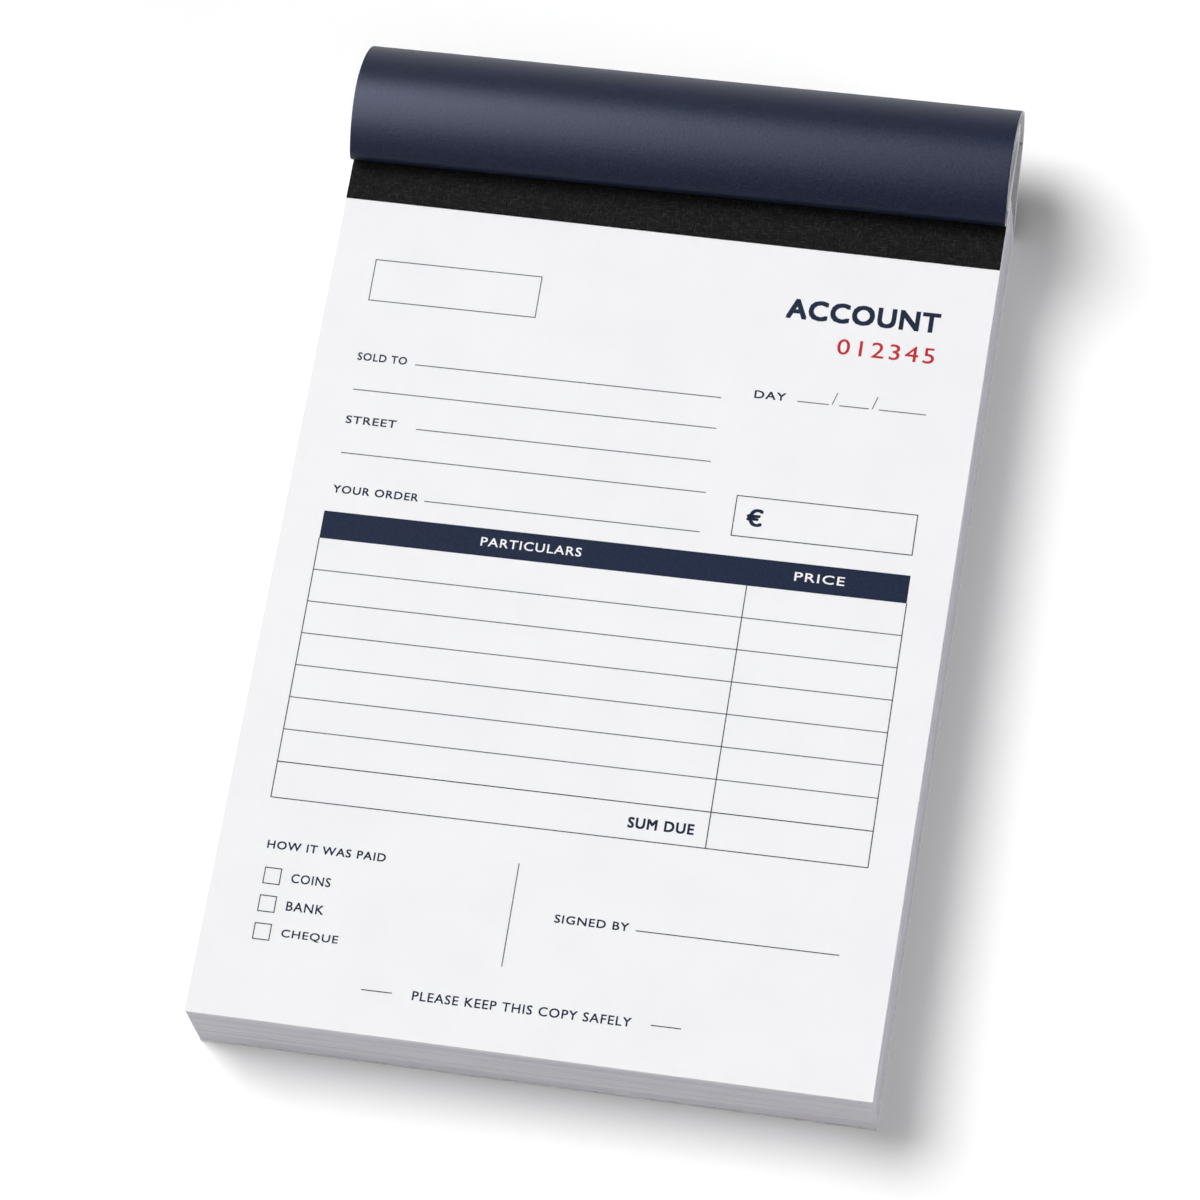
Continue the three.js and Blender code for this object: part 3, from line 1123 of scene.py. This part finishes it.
    @staticmethod
    def stretch(line: list[Vector], start: float, end: float) -> list[Vector]:
        """The part of a line between two distances from its start.

        Args:
            line: The whole line.
            start: Where the part starts.
            end: Where it ends.

        Returns:
            The points of the part.
        """
        points, run = [], 0.0
        for a, b in zip(line, line[1:]):
            step = (b - a).length
            points += [a.lerp(b, (mark - run) / step) for mark in (start, end) if run <= mark < run + step]
            run += step
            if start < run < end:
                points.append(b)
        return points

    def build(self, finishes: list[bpy.types.Material]) -> None:
        """Builds the three panels.

        Args:
            finishes: The card's outer face, its inside and its cut edges.
        """
        line = self.whole_line()
        back = [Vector((self.front_y, self.lower_fold.y)), self.lower_fold]
        panels = [
            ("back_panel", "back_cover", self.back_body,
             CardStrip(back, self.card, self.half_width, round_end=True, fold_slack=self.fold_slack),
             Waves(), 0.0),
            ("spine_panel", "cover_spine_panel", self.spine_body,
             CardStrip(self.stretch(line, 0.0, self.panel), self.card, self.half_width,
                       round_start=True, round_end=True), Waves(), None),
            ("rolled_front_panel", "front_cover", self.roll_body,
             CardStrip(self.stretch(line, self.panel, self.panel + self.page), self.card, self.half_width,
                       round_start=True, fold_slack=self.fold_slack, skew=self.skew),
             self.waver, self.page),
        ]
        for name, node, body, strip, waves, free_end in panels:
            mesh = strip.mesh(name, waves, free_end)
            for finish in finishes:
                mesh.materials.append(finish)
            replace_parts(piece_from(mesh, name, body, self.slot), node)


@dataclass
class Binding:
    """The cloth tape of the binding."""

    cloth: float = 0.25 * MM
    corner: float = 0.4 * MM
    corner_steps: int = 6
    step: float = 0.5 * MM
    press: Waves = Waves(0.03 * MM, ((210, 330, 0.0), (93, -480, 0.7)))
    columns: int = 74
    edge_gap: float = 0.05 * MM
    bottom_gap: float = 0.3 * MM

    def tape_line(self) -> list[Vector]:
        """The middle line of the tape, from under the board round the spine to the top leaf.

        Returns:
            Its points.
        """
        low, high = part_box("binding_tape")
        half = self.cloth / 2
        bottom_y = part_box("cover_glue")[1].y + self.bottom_gap
        corners = [
            Vector((bottom_y, low.z + half)), Vector((high.y - half, low.z + half)),
            Vector((high.y - half, high.z - half)), Vector((self.top_edge(), high.z - half)),
        ]
        line = [corners[0]]
        for before, corner, after in zip(corners, corners[1:], corners[2:]):
            back, on = (before - corner).normalized(), (after - corner).normalized()
            centre, radius = corner + (back + on) * self.corner, self.corner
            for k in range(self.corner_steps + 1):
                turn = math.pi / 2 * k / self.corner_steps
                line.append(centre - on * (radius * math.cos(turn)) - back * (radius * math.sin(turn)))
        line.append(corners[-1])
        return line

    def top_edge(self) -> float:
        """The tape's upper edge, which is bevelled from just behind the line that the leaves turn on."""
        turn = next(j for j in frame["joints"] if j["name"] == "leaf_1_turn")
        return turn["pos_m"][1] + self.edge_gap + self.cloth

    def fine_line(self) -> list[Vector]:
        """The tape's middle line in short steps.

        Returns:
            Its points.
        """
        coarse = self.tape_line()
        fine = [coarse[0]]
        for a, b in zip(coarse, coarse[1:]):
            steps = max(1, math.ceil((b - a).length / self.step))
            fine += [a.lerp(b, k / steps) for k in range(1, steps + 1)]
        return fine

    def build(self, cloth: bpy.types.Material, backing: bpy.types.Material) -> None:
        """Builds the tape.

        Args:
            cloth: The tape's finish.
            backing: The look of its cut ends, where its pale backing shows.
        """
        half_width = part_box("binding_tape")[1].x
        strip = CardStrip(
            self.fine_line(), self.cloth, half_width, self.columns, round_end=True, end_bevel=self.cloth,
        )
        mesh = strip.mesh("cloth_tape", self.press)
        for finish in (cloth, cloth, backing):
            mesh.materials.append(finish)
        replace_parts(piece_from(mesh, "cloth_tape", "pad", "cloth_tape"), "binding_tape")


@dataclass
class Pile:
    """The leaves under the lifting ones, each a sheet of its own."""

    packs: int = 16
    leaves: int = 192
    air: float = 0.01 * MM
    jog: float = 0.07 * MM
    leg_hole: Vector = field(default_factory=lambda: Vector((0.8 * MM, 0.9 * MM)))

    def holes(self) -> list[tuple[Vector, Vector]]:
        """The holes that the staples' legs go through.

        Returns:
            The lowest and the highest corner of each.
        """
        found = []
        for side in ("staple_left", "staple_right"):
            low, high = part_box(side)
            y = (low.y + high.y) / 2
            half = self.leg_hole / 2
            for x in (low.x + (high.y - low.y) / 2, high.x - (high.y - low.y) / 2):
                found.append((Vector((x - half.x, y - half.y)), Vector((x + half.x, y + half.y))))
        return found

    def build(self, copies: CopiesAlongLine, finish: bpy.types.Material) -> None:
        """Builds the pile.

        Args:
            copies: The tree that repeats a leaf.
            finish: The look of the leaves' trimmed edges.
        """
        nodes = [f"leaf_pack_{i:02d}" for i in range(1, self.packs + 1)]
        low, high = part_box(nodes[-1])[0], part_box(nodes[0])[1]
        pitch = (high.z - low.z + self.air) / self.leaves
        inset = Vector((self.jog, self.jog, 0))
        far_corner = Vector((high.x, high.y, low.z + pitch - self.air))
        leaf = plate("leaf_of_the_pile", low + inset, far_corner - inset, self.holes())
        mesh = copies.lay(leaf, self.leaves, Vector((0, 0, pitch)), finish, inset)
        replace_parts(piece_from(mesh, "still_leaves", "pad", "page_paper"), *nodes)


@dataclass
class LiftingLeaves:
    """The top leaves, each a sheet whose rear edge is a row of fine perforation ties."""

    count: int = 8
    slit: float = 0.06 * MM
    tie_width: float = 0.5 * MM
    tie_pitch: float = 1.6 * MM
    root: float = 0.03 * MM

    def leaf(
        self, name: str, node: str, copies: CopiesAlongLine, paper: bpy.types.Material,
    ) -> bpy.types.Mesh:
        """Makes one leaf in the place of its node.

        Args:
            name: The name of the mesh.
            node: The node that it stands for.
            copies: The tree that repeats a tie.
            paper: The look of the paper.

        Returns:
            The mesh.
        """
        low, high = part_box(node)
        edge = high.y - self.slit
        ties = int((high.x - low.x - self.tie_width) / self.tie_pitch)
        first = (low.x + high.x - (ties - 1) * self.tie_pitch - self.tie_width) / 2
        near_corner = Vector((first, edge - self.root, low.z))
        tie = plate("tie", near_corner, Vector((first + self.tie_width, high.y, high.z)))
        row = copies.lay(tie, ties, Vector((self.tie_pitch, 0, 0)), paper)
        mesh = plate(name, low, Vector((high.x, edge, high.z)))
        build = bmesh.new()
        build.from_mesh(mesh)
        build.from_mesh(row)
        build.to_mesh(mesh)
        build.free()
        mesh.materials.append(paper)
        return mesh

    def build(self, copies: CopiesAlongLine, paper: bpy.types.Material) -> None:
        """Builds the leaves and dresses their stubs.

        Args:
            copies: The tree that repeats a tie.
            paper: The look of the paper.
        """
        for i in range(1, self.count + 1):
            node = f"leaf_{i}"
            mesh = self.leaf(f"perforated_leaf_{i}", node, copies, paper)
            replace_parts(piece_from(mesh, mesh.name, node, "page_paper"), node)
            dress(f"stub_{i}", paper)


@dataclass(frozen=True)
class Word:
    """A word of the form, set in a box of a given width and cap height, in millimetres."""

    text: str
    x: float
    y: float
    width: float
    height: float
    ink: Ink = Ink.NAVY
    weight: float = 0.1
    spacing: float = 1.12
    layer: float = 0.0005 * MM
    curve_steps: int = 3

    def mesh(self) -> bpy.types.Mesh:
        """Sets the word.

        Returns:
            A flat mesh, with its lower left corner in place.
        """
        curve = bpy.data.curves.new(self.text, "FONT")
        curve.body = self.text
        curve.size = 1.0
        curve.resolution_u = self.curve_steps
        curve.space_character = self.spacing
        holder = bpy.data.objects.new(self.text, curve)
        bpy.context.scene.collection.objects.link(holder)
        evaluated = holder.evaluated_get(bpy.context.evaluated_depsgraph_get())
        mesh = bpy.data.meshes.new_from_object(evaluated)
        bpy.data.objects.remove(holder)
        xs, ys = [v.co.x for v in mesh.vertices], [v.co.y for v in mesh.vertices]
        bold = self.weight * MM
        scale_x = (self.width * MM - bold) / (max(xs) - min(xs))
        scale_y = (self.height * MM - bold) / (max(ys) - min(ys))
        to_corner = Matrix.Translation((-min(xs), -min(ys), 0))
        mesh.transform(Matrix.Diagonal((scale_x, scale_y, 1, 1)) @ to_corner)
        mesh.transform(Matrix.Translation((self.x * MM, self.y * MM, 0)))
        build = bmesh.new()
        shifts = [(0, 0)] if not bold else [(0, 0), (bold, 0), (bold, bold), (0, bold)]
        for i, (right, up) in enumerate(shifts):
            copy = mesh.copy()
            copy.transform(Matrix.Translation((right, up, i * self.layer)))
            build.from_mesh(copy)
            bpy.data.meshes.remove(copy)
        bmesh.ops.reverse_faces(build, faces=[face for face in build.faces if face.normal.z < 0])
        build.to_mesh(mesh)
        build.free()
        return mesh


@dataclass(frozen=True)
class Rule:
    """A level printed line, in millimetres."""

    left: float
    right: float
    y: float
    ink: Ink = Ink.GREY


@dataclass(frozen=True)
class Box:
    """A printed outline, in millimetres."""

    left: float
    low: float
    right: float
    high: float
    ink: Ink = Ink.DARK


@dataclass(frozen=True)
class Field:
    """A line to write on after its label, and perhaps a second one below, in millimetres."""

    label: str
    label_width: float
    start: float
    y: float
    second: bool = True


@dataclass
class Form:
    """The printed form: a heading, a number, ruled lines, a box, a table, tick boxes and a footer.

    Places are millimetres from the middle of the page, square to the print.
    """

    left: float = -65
    right: float = 65
    skew: float = math.radians(0.5)
    hairline: float = 0.24
    label_height: float = 1.9
    label_drop: float = 0.3
    label_indent: float = 1.0
    line_indent: float = 1.3
    fields: tuple[Field, ...] = (
        Field("SOLD TO", label_width=11.2, start=-50.9, y=49.6),
        Field("STREET", label_width=11.4, start=-48.1, y=34.25),
        Field("YOUR ORDER", label_width=19.2, start=-43.4, y=17.5, second=False),
    )
    field_right: float = 17.9
    field_pitch: float = 7.4
    head_words: tuple[Word, ...] = (
        Word("ACCOUNT", x=29.2, y=70.3, width=34.2, height=4.9, weight=0.42, spacing=1.1),
        Word("DAY", x=25.1, y=50.4, width=7.0, height=1.9),
        Word("€", x=27.6, y=20.1, width=3.6, height=4.2, weight=0.25),
    )
    head_boxes: tuple[Box, ...] = (
        Box(left=-64, low=63.9, right=-26, high=74.1, ink=Ink.GREY),
        Box(left=24.75, low=17.4, right=64.75, high=27.1),
    )
    day_blanks: tuple[Rule, ...] = (
        Rule(left=34.7, right=41.7, y=50.7), Rule(left=44.0, right=50.6, y=50.7),
        Rule(left=52.8, right=63.2, y=50.7),
    )
    day_strokes: tuple[float, float] = (42.85, 51.75)
    stroke_y: float = 50.7
    stroke_height: float = 3.0
    stroke_lean: float = 0.9
    bar_top: float = 12.75
    bar_height: float = 6.5
    row_height: float = 7.5
    rows: int = 7
    total_height: float = 8.25
    divider: float = 30
    table_words: tuple[Word, ...] = (
        Word("PARTICULARS", x=-29.4, y=8.6, width=22.4, height=2.1, ink=Ink.BARE, weight=0.07),
        Word("PRICE", x=40.0, y=8.6, width=11.0, height=2.1, ink=Ink.BARE, weight=0.07),
        Word("SUM DUE", x=12.6, y=-51.9, width=14.4, height=2.5, weight=0.2),
    )
    ticks: tuple[Word, ...] = (
        Word("COINS", x=-57.3, y=-73.25, width=8.6, height=2.1, weight=0.08),
        Word("BANK", x=-57.3, y=-79.55, width=8.2, height=2.1, weight=0.08),
        Word("CHEQUE", x=-57.3, y=-85.85, width=12.4, height=2.1, weight=0.08),
    )
    tick_side: float = 3.8
    tick_reach: float = 6.1
    foot_words: tuple[Word, ...] = (
        Word("HOW IT WAS PAID", x=-63.8, y=-66.1, width=26, height=1.9),
        Word("SIGNED BY", x=0.4, y=-75.0, width=16.1, height=1.9),
        Word("PLEASE KEEP THIS COPY SAFELY", x=-27.0, y=-95.9, width=47.2, height=2.1, weight=0.08),
    )
    foot_rules: tuple[Rule, ...] = (
        Rule(left=18.0, right=61.7, y=-74.6, ink=Ink.DARK),
        Rule(left=-38.1, right=-31.4, y=-94.9, ink=Ink.DARK),
        Rule(left=24.4, right=30.9, y=-94.9, ink=Ink.DARK),
    )
    foot_divider: float = -9.1
    foot_divider_ends: tuple[float, float] = (-86.1, -62.8)
    first_number: int = 12345
    knockout_lift: float = 0.001 * MM

    def __post_init__(self) -> None:
        """Starts with no print."""
        self.build_mesh = bmesh.new()
        self.inks = list(Ink)

    def bar(self, x0: float, y0: float, x1: float, y1: float, ink: Ink) -> None:
        """Prints a filled rectangle.

        Args:
            x0: Its left side.
            y0: Its lower side.
            x1: Its right side.
            y1: Its upper side.
            ink: Its ink.
        """
        places = ((x0, y0), (x1, y0), (x1, y1), (x0, y1))
        corners = [self.build_mesh.verts.new((x * MM, y * MM, 0)) for x, y in places]
        self.build_mesh.faces.new(corners).material_index = self.inks.index(ink)

    def level(self, rule: Rule) -> None:
        """Prints a level line."""
        half = self.hairline / 2
        self.bar(rule.left, rule.y - half, rule.right, rule.y + half, rule.ink)

    def upright(self, x: float, y0: float, y1: float, ink: Ink = Ink.GREY) -> None:
        """Prints an upright line."""
        half = self.hairline / 2
        self.bar(x - half, y0, x + half, y1, ink)

    def outline(self, box: Box) -> None:
        """Prints the outline of a rectangle, with its line inside.

        Args:
            box: The rectangle.
        """
        line = self.hairline
        self.bar(box.left, box.low, box.right, box.low + line, box.ink)
        self.bar(box.left, box.high - line, box.right, box.high, box.ink)
        self.bar(box.left, box.low + line, box.left + line, box.high - line, box.ink)
        self.bar(box.right - line, box.low + line, box.right, box.high - line, box.ink)

    def add(self, mesh: bpy.types.Mesh, ink: Ink, lift: float = 0.0) -> None:
        """Adds a mesh to the print.

        Args:
            mesh: A flat mesh in its place.
            ink: Its ink.
            lift: Its height over the rest of the print.
        """
        start = len(self.build_mesh.faces)
        mesh.transform(Matrix.Translation((0, 0, lift)))
        self.build_mesh.from_mesh(mesh)
        self.build_mesh.faces.ensure_lookup_table()
        for face in self.build_mesh.faces[start:]:
            face.material_index = self.inks.index(ink)

    def word(self, word: Word) -> None:
        """Prints a word, over the bar where it is bare paper."""
        self.add(word.mesh(), word.ink, self.knockout_lift if word.ink is Ink.BARE else 0.0)

    def print_head(self) -> None:
        """Prints the heading, the day, the lines for the buyer and the two boxes."""
        for box in self.head_boxes:
            self.outline(box)
        for word in self.head_words:
            self.word(word)
        for blank in self.day_blanks:
            self.level(blank)
        for x in self.day_strokes:
            self.stroke(x)
        for line in self.fields:
            low, start = line.y - self.label_drop, self.left + self.label_indent
            self.word(Word(line.label, start, low, line.label_width, self.label_height))
            self.level(Rule(line.start, self.field_right, line.y))
            if line.second:
                self.level(Rule(self.left + self.line_indent, self.field_right, line.y - self.field_pitch))

    def stroke(self, x: float) -> None:
        """Prints a leaning stroke between two parts of the day.

        Args:
            x: The middle of the stroke.
        """
        y, height, lean = self.stroke_y, self.stroke_height, self.stroke_lean
        half = self.hairline / 2
        places = (
            (x - lean / 2 - half, y), (x - lean / 2 + half, y),
            (x + lean / 2 + half, y + height), (x + lean / 2 - half, y + height),
        )
        corners = [self.build_mesh.verts.new((a * MM, b * MM, 0)) for a, b in places]
        self.build_mesh.faces.new(corners).material_index = self.inks.index(Ink.GREY)

    def print_table(self, copies: CopiesAlongLine) -> None:
        """Prints the table.

        Args:
            copies: The tree that repeats the rows' rules.
        """
        low = self.bar_top - self.bar_height
        bottom = low - self.rows * self.row_height - self.total_height
        self.bar(self.left, low, self.right, self.bar_top, Ink.NAVY)
        for word in self.table_words:
            self.word(word)
        half = self.hairline / 2
        build = bmesh.new()
        y, left, right = low - self.row_height, self.left, self.right
        places = ((left, y - half), (right, y - half), (right, y + half), (left, y + half))
        build.faces.new([build.verts.new((a * MM, b * MM, 0)) for a, b in places])
        rule = bpy.data.meshes.new("row_rule")
        build.to_mesh(rule)
        build.free()
        step = Vector((0, -self.row_height * MM, 0))
        self.add(copies.lay(rule, self.rows, step, bpy.data.materials.get("ink_grey")), Ink.GREY)
        for y in (low - self.rows * self.row_height, bottom):
            self.level(Rule(self.left, self.right, y, Ink.DARK))
        for x in (self.left, self.right, self.divider):
            self.upright(x, bottom, low, Ink.DARK)

    def print_foot(self) -> None:
        """Prints the tick boxes, the line to sign on and the footer."""
        for word in self.foot_words:
            self.word(word)
        for word in self.ticks:
            left, middle = word.x - self.tick_reach, word.y + word.height / 2
            low = middle - self.tick_side / 2
            self.outline(Box(left, low, left + self.tick_side, low + self.tick_side))
            self.word(word)
        self.upright(self.foot_divider, *self.foot_divider_ends)
        for rule in self.foot_rules:
            self.level(rule)

    def number(self, leaf: int) -> Word:
        """The red number of a leaf, one more on each leaf down the pile."""
        digits = f"{self.first_number + leaf:06d}"
        return Word(digits, x=41.6, y=62.9, width=21.6, height=3.8, ink=Ink.RED, weight=0.05, spacing=1.2)

    def build(self, copies: CopiesAlongLine, lifting: int, lift: float, top_lift: float) -> None:
        """Prints the form on each leaf that can be seen.

        Args:
            copies: The tree that repeats the rows' rules.
            lifting: The number of leaves that lift.
            lift: The height of the ink over its leaf.
            top_lift: The height of the ink over the top leaf.
        """
        materials = [ink.build() for ink in self.inks]
        self.print_head()
        self.print_table(copies)
        self.print_foot()
        blank = bpy.data.meshes.new("form")
        self.build_mesh.to_mesh(blank)
        leaves = [(f"leaf_{i}", f"leaf_{i}") for i in range(1, lifting + 1)] + [("leaf_pack_01", "pad")]
        for i, (node, body) in enumerate(leaves):
            self.build_mesh.clear()
            self.build_mesh.from_mesh(blank)
            number = self.number(i)
            self.add(number.mesh(), number.ink)
            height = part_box(node)[1].z + (lift if i else top_lift)
            mesh = bpy.data.meshes.new("form_print")
            self.build_mesh.to_mesh(mesh)
            mesh.transform(Matrix.Translation((0, 0, height)) @ Matrix.Rotation(self.skew, 4, "Z"))
            for material in materials:
                mesh.materials.append(material)
            piece_from(mesh, f"form_print_{i + 1}", body, "page_paper")
        self.build_mesh.free()


@dataclass
class InvoiceBook:
    """The whole book."""

    ink_lift: float = 0.004 * MM
    top_ink_lift: float = 0.012 * MM

    def build(self) -> None:
        """Builds every sub-assembly in order."""
        copies = CopiesAlongLine()
        low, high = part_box("leaf_pack_16")[0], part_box("leaf_pack_01")[1]
        paper = PaperFinish().build(low, high)
        leaves = LiftingLeaves()
        leaves.build(copies, paper)
        Pile().build(copies, PileFinish().build())
        Form().build(copies, leaves.count, self.ink_lift, self.top_ink_lift)
        dress("backing_board", GREY_BOARD.build())
        glue, wire = DRIED_GLUE.build(), WireFinish().build()
        for node in ("spine_glue", "cover_glue"):
            dress(node, glue)
        for node in ("staple_left", "staple_right"):
            dress(node, wire)
        inside, core = CARD_INSIDE.build(), CARD_CORE.build()
        Binding().build(ClothFinish().build(), core)
        RolledCover().build([CardFinish().build(), inside, core])


@dataclass
class Studio:
    """The floor, the light and the camera."""

    floor_half: float = 6.0
    floor_grey: float = 0.8
    floor_shown: float = 1.08
    sky: float = 0.6
    sky_low: float = 0.07
    sky_power: float = 3.0
    sky_from: Vector = field(default_factory=lambda: Vector((-0.45, 0.15, 0.88)))
    key: float = 2.45
    key_angle: float = math.radians(38)
    key_from: Vector = field(default_factory=lambda: Vector((-0.52, 0.28, 0.82)))
    fill: float = 2.03
    fill_angle: float = math.radians(40)
    fill_from: Vector = field(default_factory=lambda: Vector((0.90, -0.44, 0.06)))
    softbox: float = 10.6
    softbox_size: tuple[float, float] = (0.75, 0.5)
    softbox_at: Vector = field(default_factory=lambda: Vector((-0.39, 0.13, 0.50)))
    clip_start: float = 10 * MM
    clip_end: float = 50.0
    photo_side: float = 1200
    sensor: float = 36
    focal_px: float = 5619.15
    aim: Vector = field(default_factory=lambda: Vector((-1.2506, -0.9124, 21.75)) * MM)
    distance: float = 1221.64 * MM
    azimuth: float = math.radians(22.417)
    elevation: float = math.radians(67.817)
    roll: float = math.radians(-13.987)

    @staticmethod
    def white_to_camera(tree: bpy.types.NodeTree) -> bpy.types.NodeSocket:
        """A value that is 1 for the camera, and for what mirrors and glass show it.

        Args:
            tree: The node tree that it is for.

        Returns:
            The value.
        """
        path = tree.nodes.new("ShaderNodeLightPath")
        seen = path.outputs["Is Camera Ray"]
        for other in ("Is Glossy Ray", "Is Transmission Ray"):
            either = tree.nodes.new("ShaderNodeMath")
            either.operation = "MAXIMUM"
            tree.links.new(seen, either.inputs[0])
            tree.links.new(path.outputs[other], either.inputs[1])
            seen = either.outputs[0]
        return seen

    def build_floor(self) -> None:
        """Lays the pale floor, which shows white and keeps the book's shadow."""
        half = self.floor_half
        mesh = bpy.data.meshes.new("floor")
        corners = [(-half, -half, 0), (half, -half, 0), (half, half, 0), (-half, half, 0)]
        mesh.from_pydata(corners, [], [(0, 1, 2, 3)])
        floor = bpy.data.objects.new("floor", mesh)
        bpy.context.scene.collection.objects.link(floor)
        material = bpy.data.materials.new("pale_floor")
        material.use_nodes = True
        tree = material.node_tree
        tree.nodes.clear()
        plain, shown = (tree.nodes.new("ShaderNodeBsdfDiffuse") for _ in range(2))
        plain.inputs["Color"].default_value = (self.floor_grey,) * 3 + (1,)
        shown.inputs["Color"].default_value = (self.floor_shown,) * 3 + (1,)
        mix = tree.nodes.new("ShaderNodeMixShader")
        output = tree.nodes.new("ShaderNodeOutputMaterial")
        tree.links.new(self.white_to_camera(tree), mix.inputs[0])
        tree.links.new(plain.outputs[0], mix.inputs[1])
        tree.links.new(shown.outputs[0], mix.inputs[2])
        tree.links.new(mix.outputs[0], output.inputs["Surface"])
        mesh.materials.append(material)

    def build_light(self) -> None:
        """Sets the dome of soft light, the key lamp, the low fill from the right and the softbox."""
        world = bpy.data.worlds.new("studio")
        bpy.context.scene.world = world
        world.use_nodes = True
        tree = world.node_tree
        tree.nodes.clear()
        sky, shown = (tree.nodes.new("ShaderNodeBackground") for _ in range(2))
        self.shade_dome(tree, sky.inputs["Strength"])
        shown.inputs["Strength"].default_value = 1.0
        for background in (sky, shown):
            background.inputs["Color"].default_value = (1, 1, 1, 1)
        mix = tree.nodes.new("ShaderNodeMixShader")
        output = tree.nodes.new("ShaderNodeOutputWorld")
        path = tree.nodes.new("ShaderNodeLightPath")
        tree.links.new(path.outputs["Is Camera Ray"], mix.inputs[0])
        tree.links.new(sky.outputs[0], mix.inputs[1])
        tree.links.new(shown.outputs[0], mix.inputs[2])
        tree.links.new(mix.outputs[0], output.inputs["Surface"])
        lamps = (("key", self.key, self.key_angle, self.key_from),
                 ("fill", self.fill, self.fill_angle, self.fill_from))
        for name, strength, angle, way in lamps:
            lamp = bpy.data.lights.new(name, "SUN")
            lamp.energy, lamp.angle = strength, angle
            held = bpy.data.objects.new(name, lamp)
            bpy.context.scene.collection.objects.link(held)
            held.rotation_euler = way.to_track_quat("Z", "Y").to_euler()
            held.visible_glossy = False
        self.build_softbox()

    def build_softbox(self) -> None:
        """Hangs the softbox at the left, which only puts the soft gloss on the rolled card."""
        lamp = bpy.data.lights.new("softbox", "AREA")
        lamp.shape, lamp.energy = "RECTANGLE", self.softbox
        lamp.size, lamp.size_y = self.softbox_size
        held = bpy.data.objects.new("softbox", lamp)
        bpy.context.scene.collection.objects.link(held)
        low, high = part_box("front_cover")
        held.location = self.softbox_at
        held.rotation_euler = (self.softbox_at - (low + high) / 2).to_track_quat("Z", "Y").to_euler()
        held.visible_diffuse = False

    def shade_dome(self, tree: bpy.types.NodeTree, strength: bpy.types.NodeSocket) -> None:
        """Makes the dome brightest at one place and dim at the horizon.

        Args:
            tree: The world's node tree.
            strength: The input that takes the dome's strength.
        """
        way = tree.nodes.new("ShaderNodeTexCoord").outputs["Generated"]
        facing = tree.nodes.new("ShaderNodeVectorMath")
        facing.operation = "DOT_PRODUCT"
        facing.inputs[1].default_value = self.sky_from.normalized()
        tree.links.new(way, facing.inputs[0])
        value = facing.outputs["Value"]
        steps = (("MAXIMUM", 0.0), ("POWER", self.sky_power), ("MULTIPLY", self.sky), ("ADD", self.sky_low))
        for operation, number in steps:
            step = tree.nodes.new("ShaderNodeMath")
            step.operation = operation
            step.inputs[1].default_value = number
            tree.links.new(value, step.inputs[0])
            value = step.outputs[0]
        tree.links.new(value, strength)

    def build_camera(self) -> None:
        """Sets the camera at the photo's angle."""
        data = bpy.data.cameras.new("camera")
        data.sensor_width = self.sensor
        data.lens = self.sensor * self.focal_px / self.photo_side
        data.clip_start, data.clip_end = self.clip_start, self.clip_end
        camera = bpy.data.objects.new("camera", data)
        bpy.context.scene.collection.objects.link(camera)
        back = Vector((
            math.sin(self.azimuth) * math.cos(self.elevation),
            -math.cos(self.azimuth) * math.cos(self.elevation),
            math.sin(self.elevation),
        ))
        level_right = Vector((math.cos(self.azimuth), math.sin(self.azimuth), 0))
        level_up = back.cross(level_right)
        right = level_right * math.cos(self.roll) + level_up * math.sin(self.roll)
        up = back.cross(right)
        turn = Matrix((right, up, back)).transposed().to_4x4()
        camera.matrix_world = Matrix.Translation(self.aim + back * self.distance) @ turn
        bpy.context.scene.camera = camera

    def build(self) -> None:
        """Builds the whole studio."""
        self.build_camera()
        self.build_floor()
        self.build_light()
        bpy.context.scene.view_settings.view_transform = "Standard"


def write_sizes() -> None:
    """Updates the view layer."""
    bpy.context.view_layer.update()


def main() -> None:
    """Builds the studio and the book."""
    logging.basicConfig(level=logging.INFO, format="%(message)s")
    Studio().build()
    InvoiceBook().build()
    write_sizes()


if __name__ == "__main__":
    main()
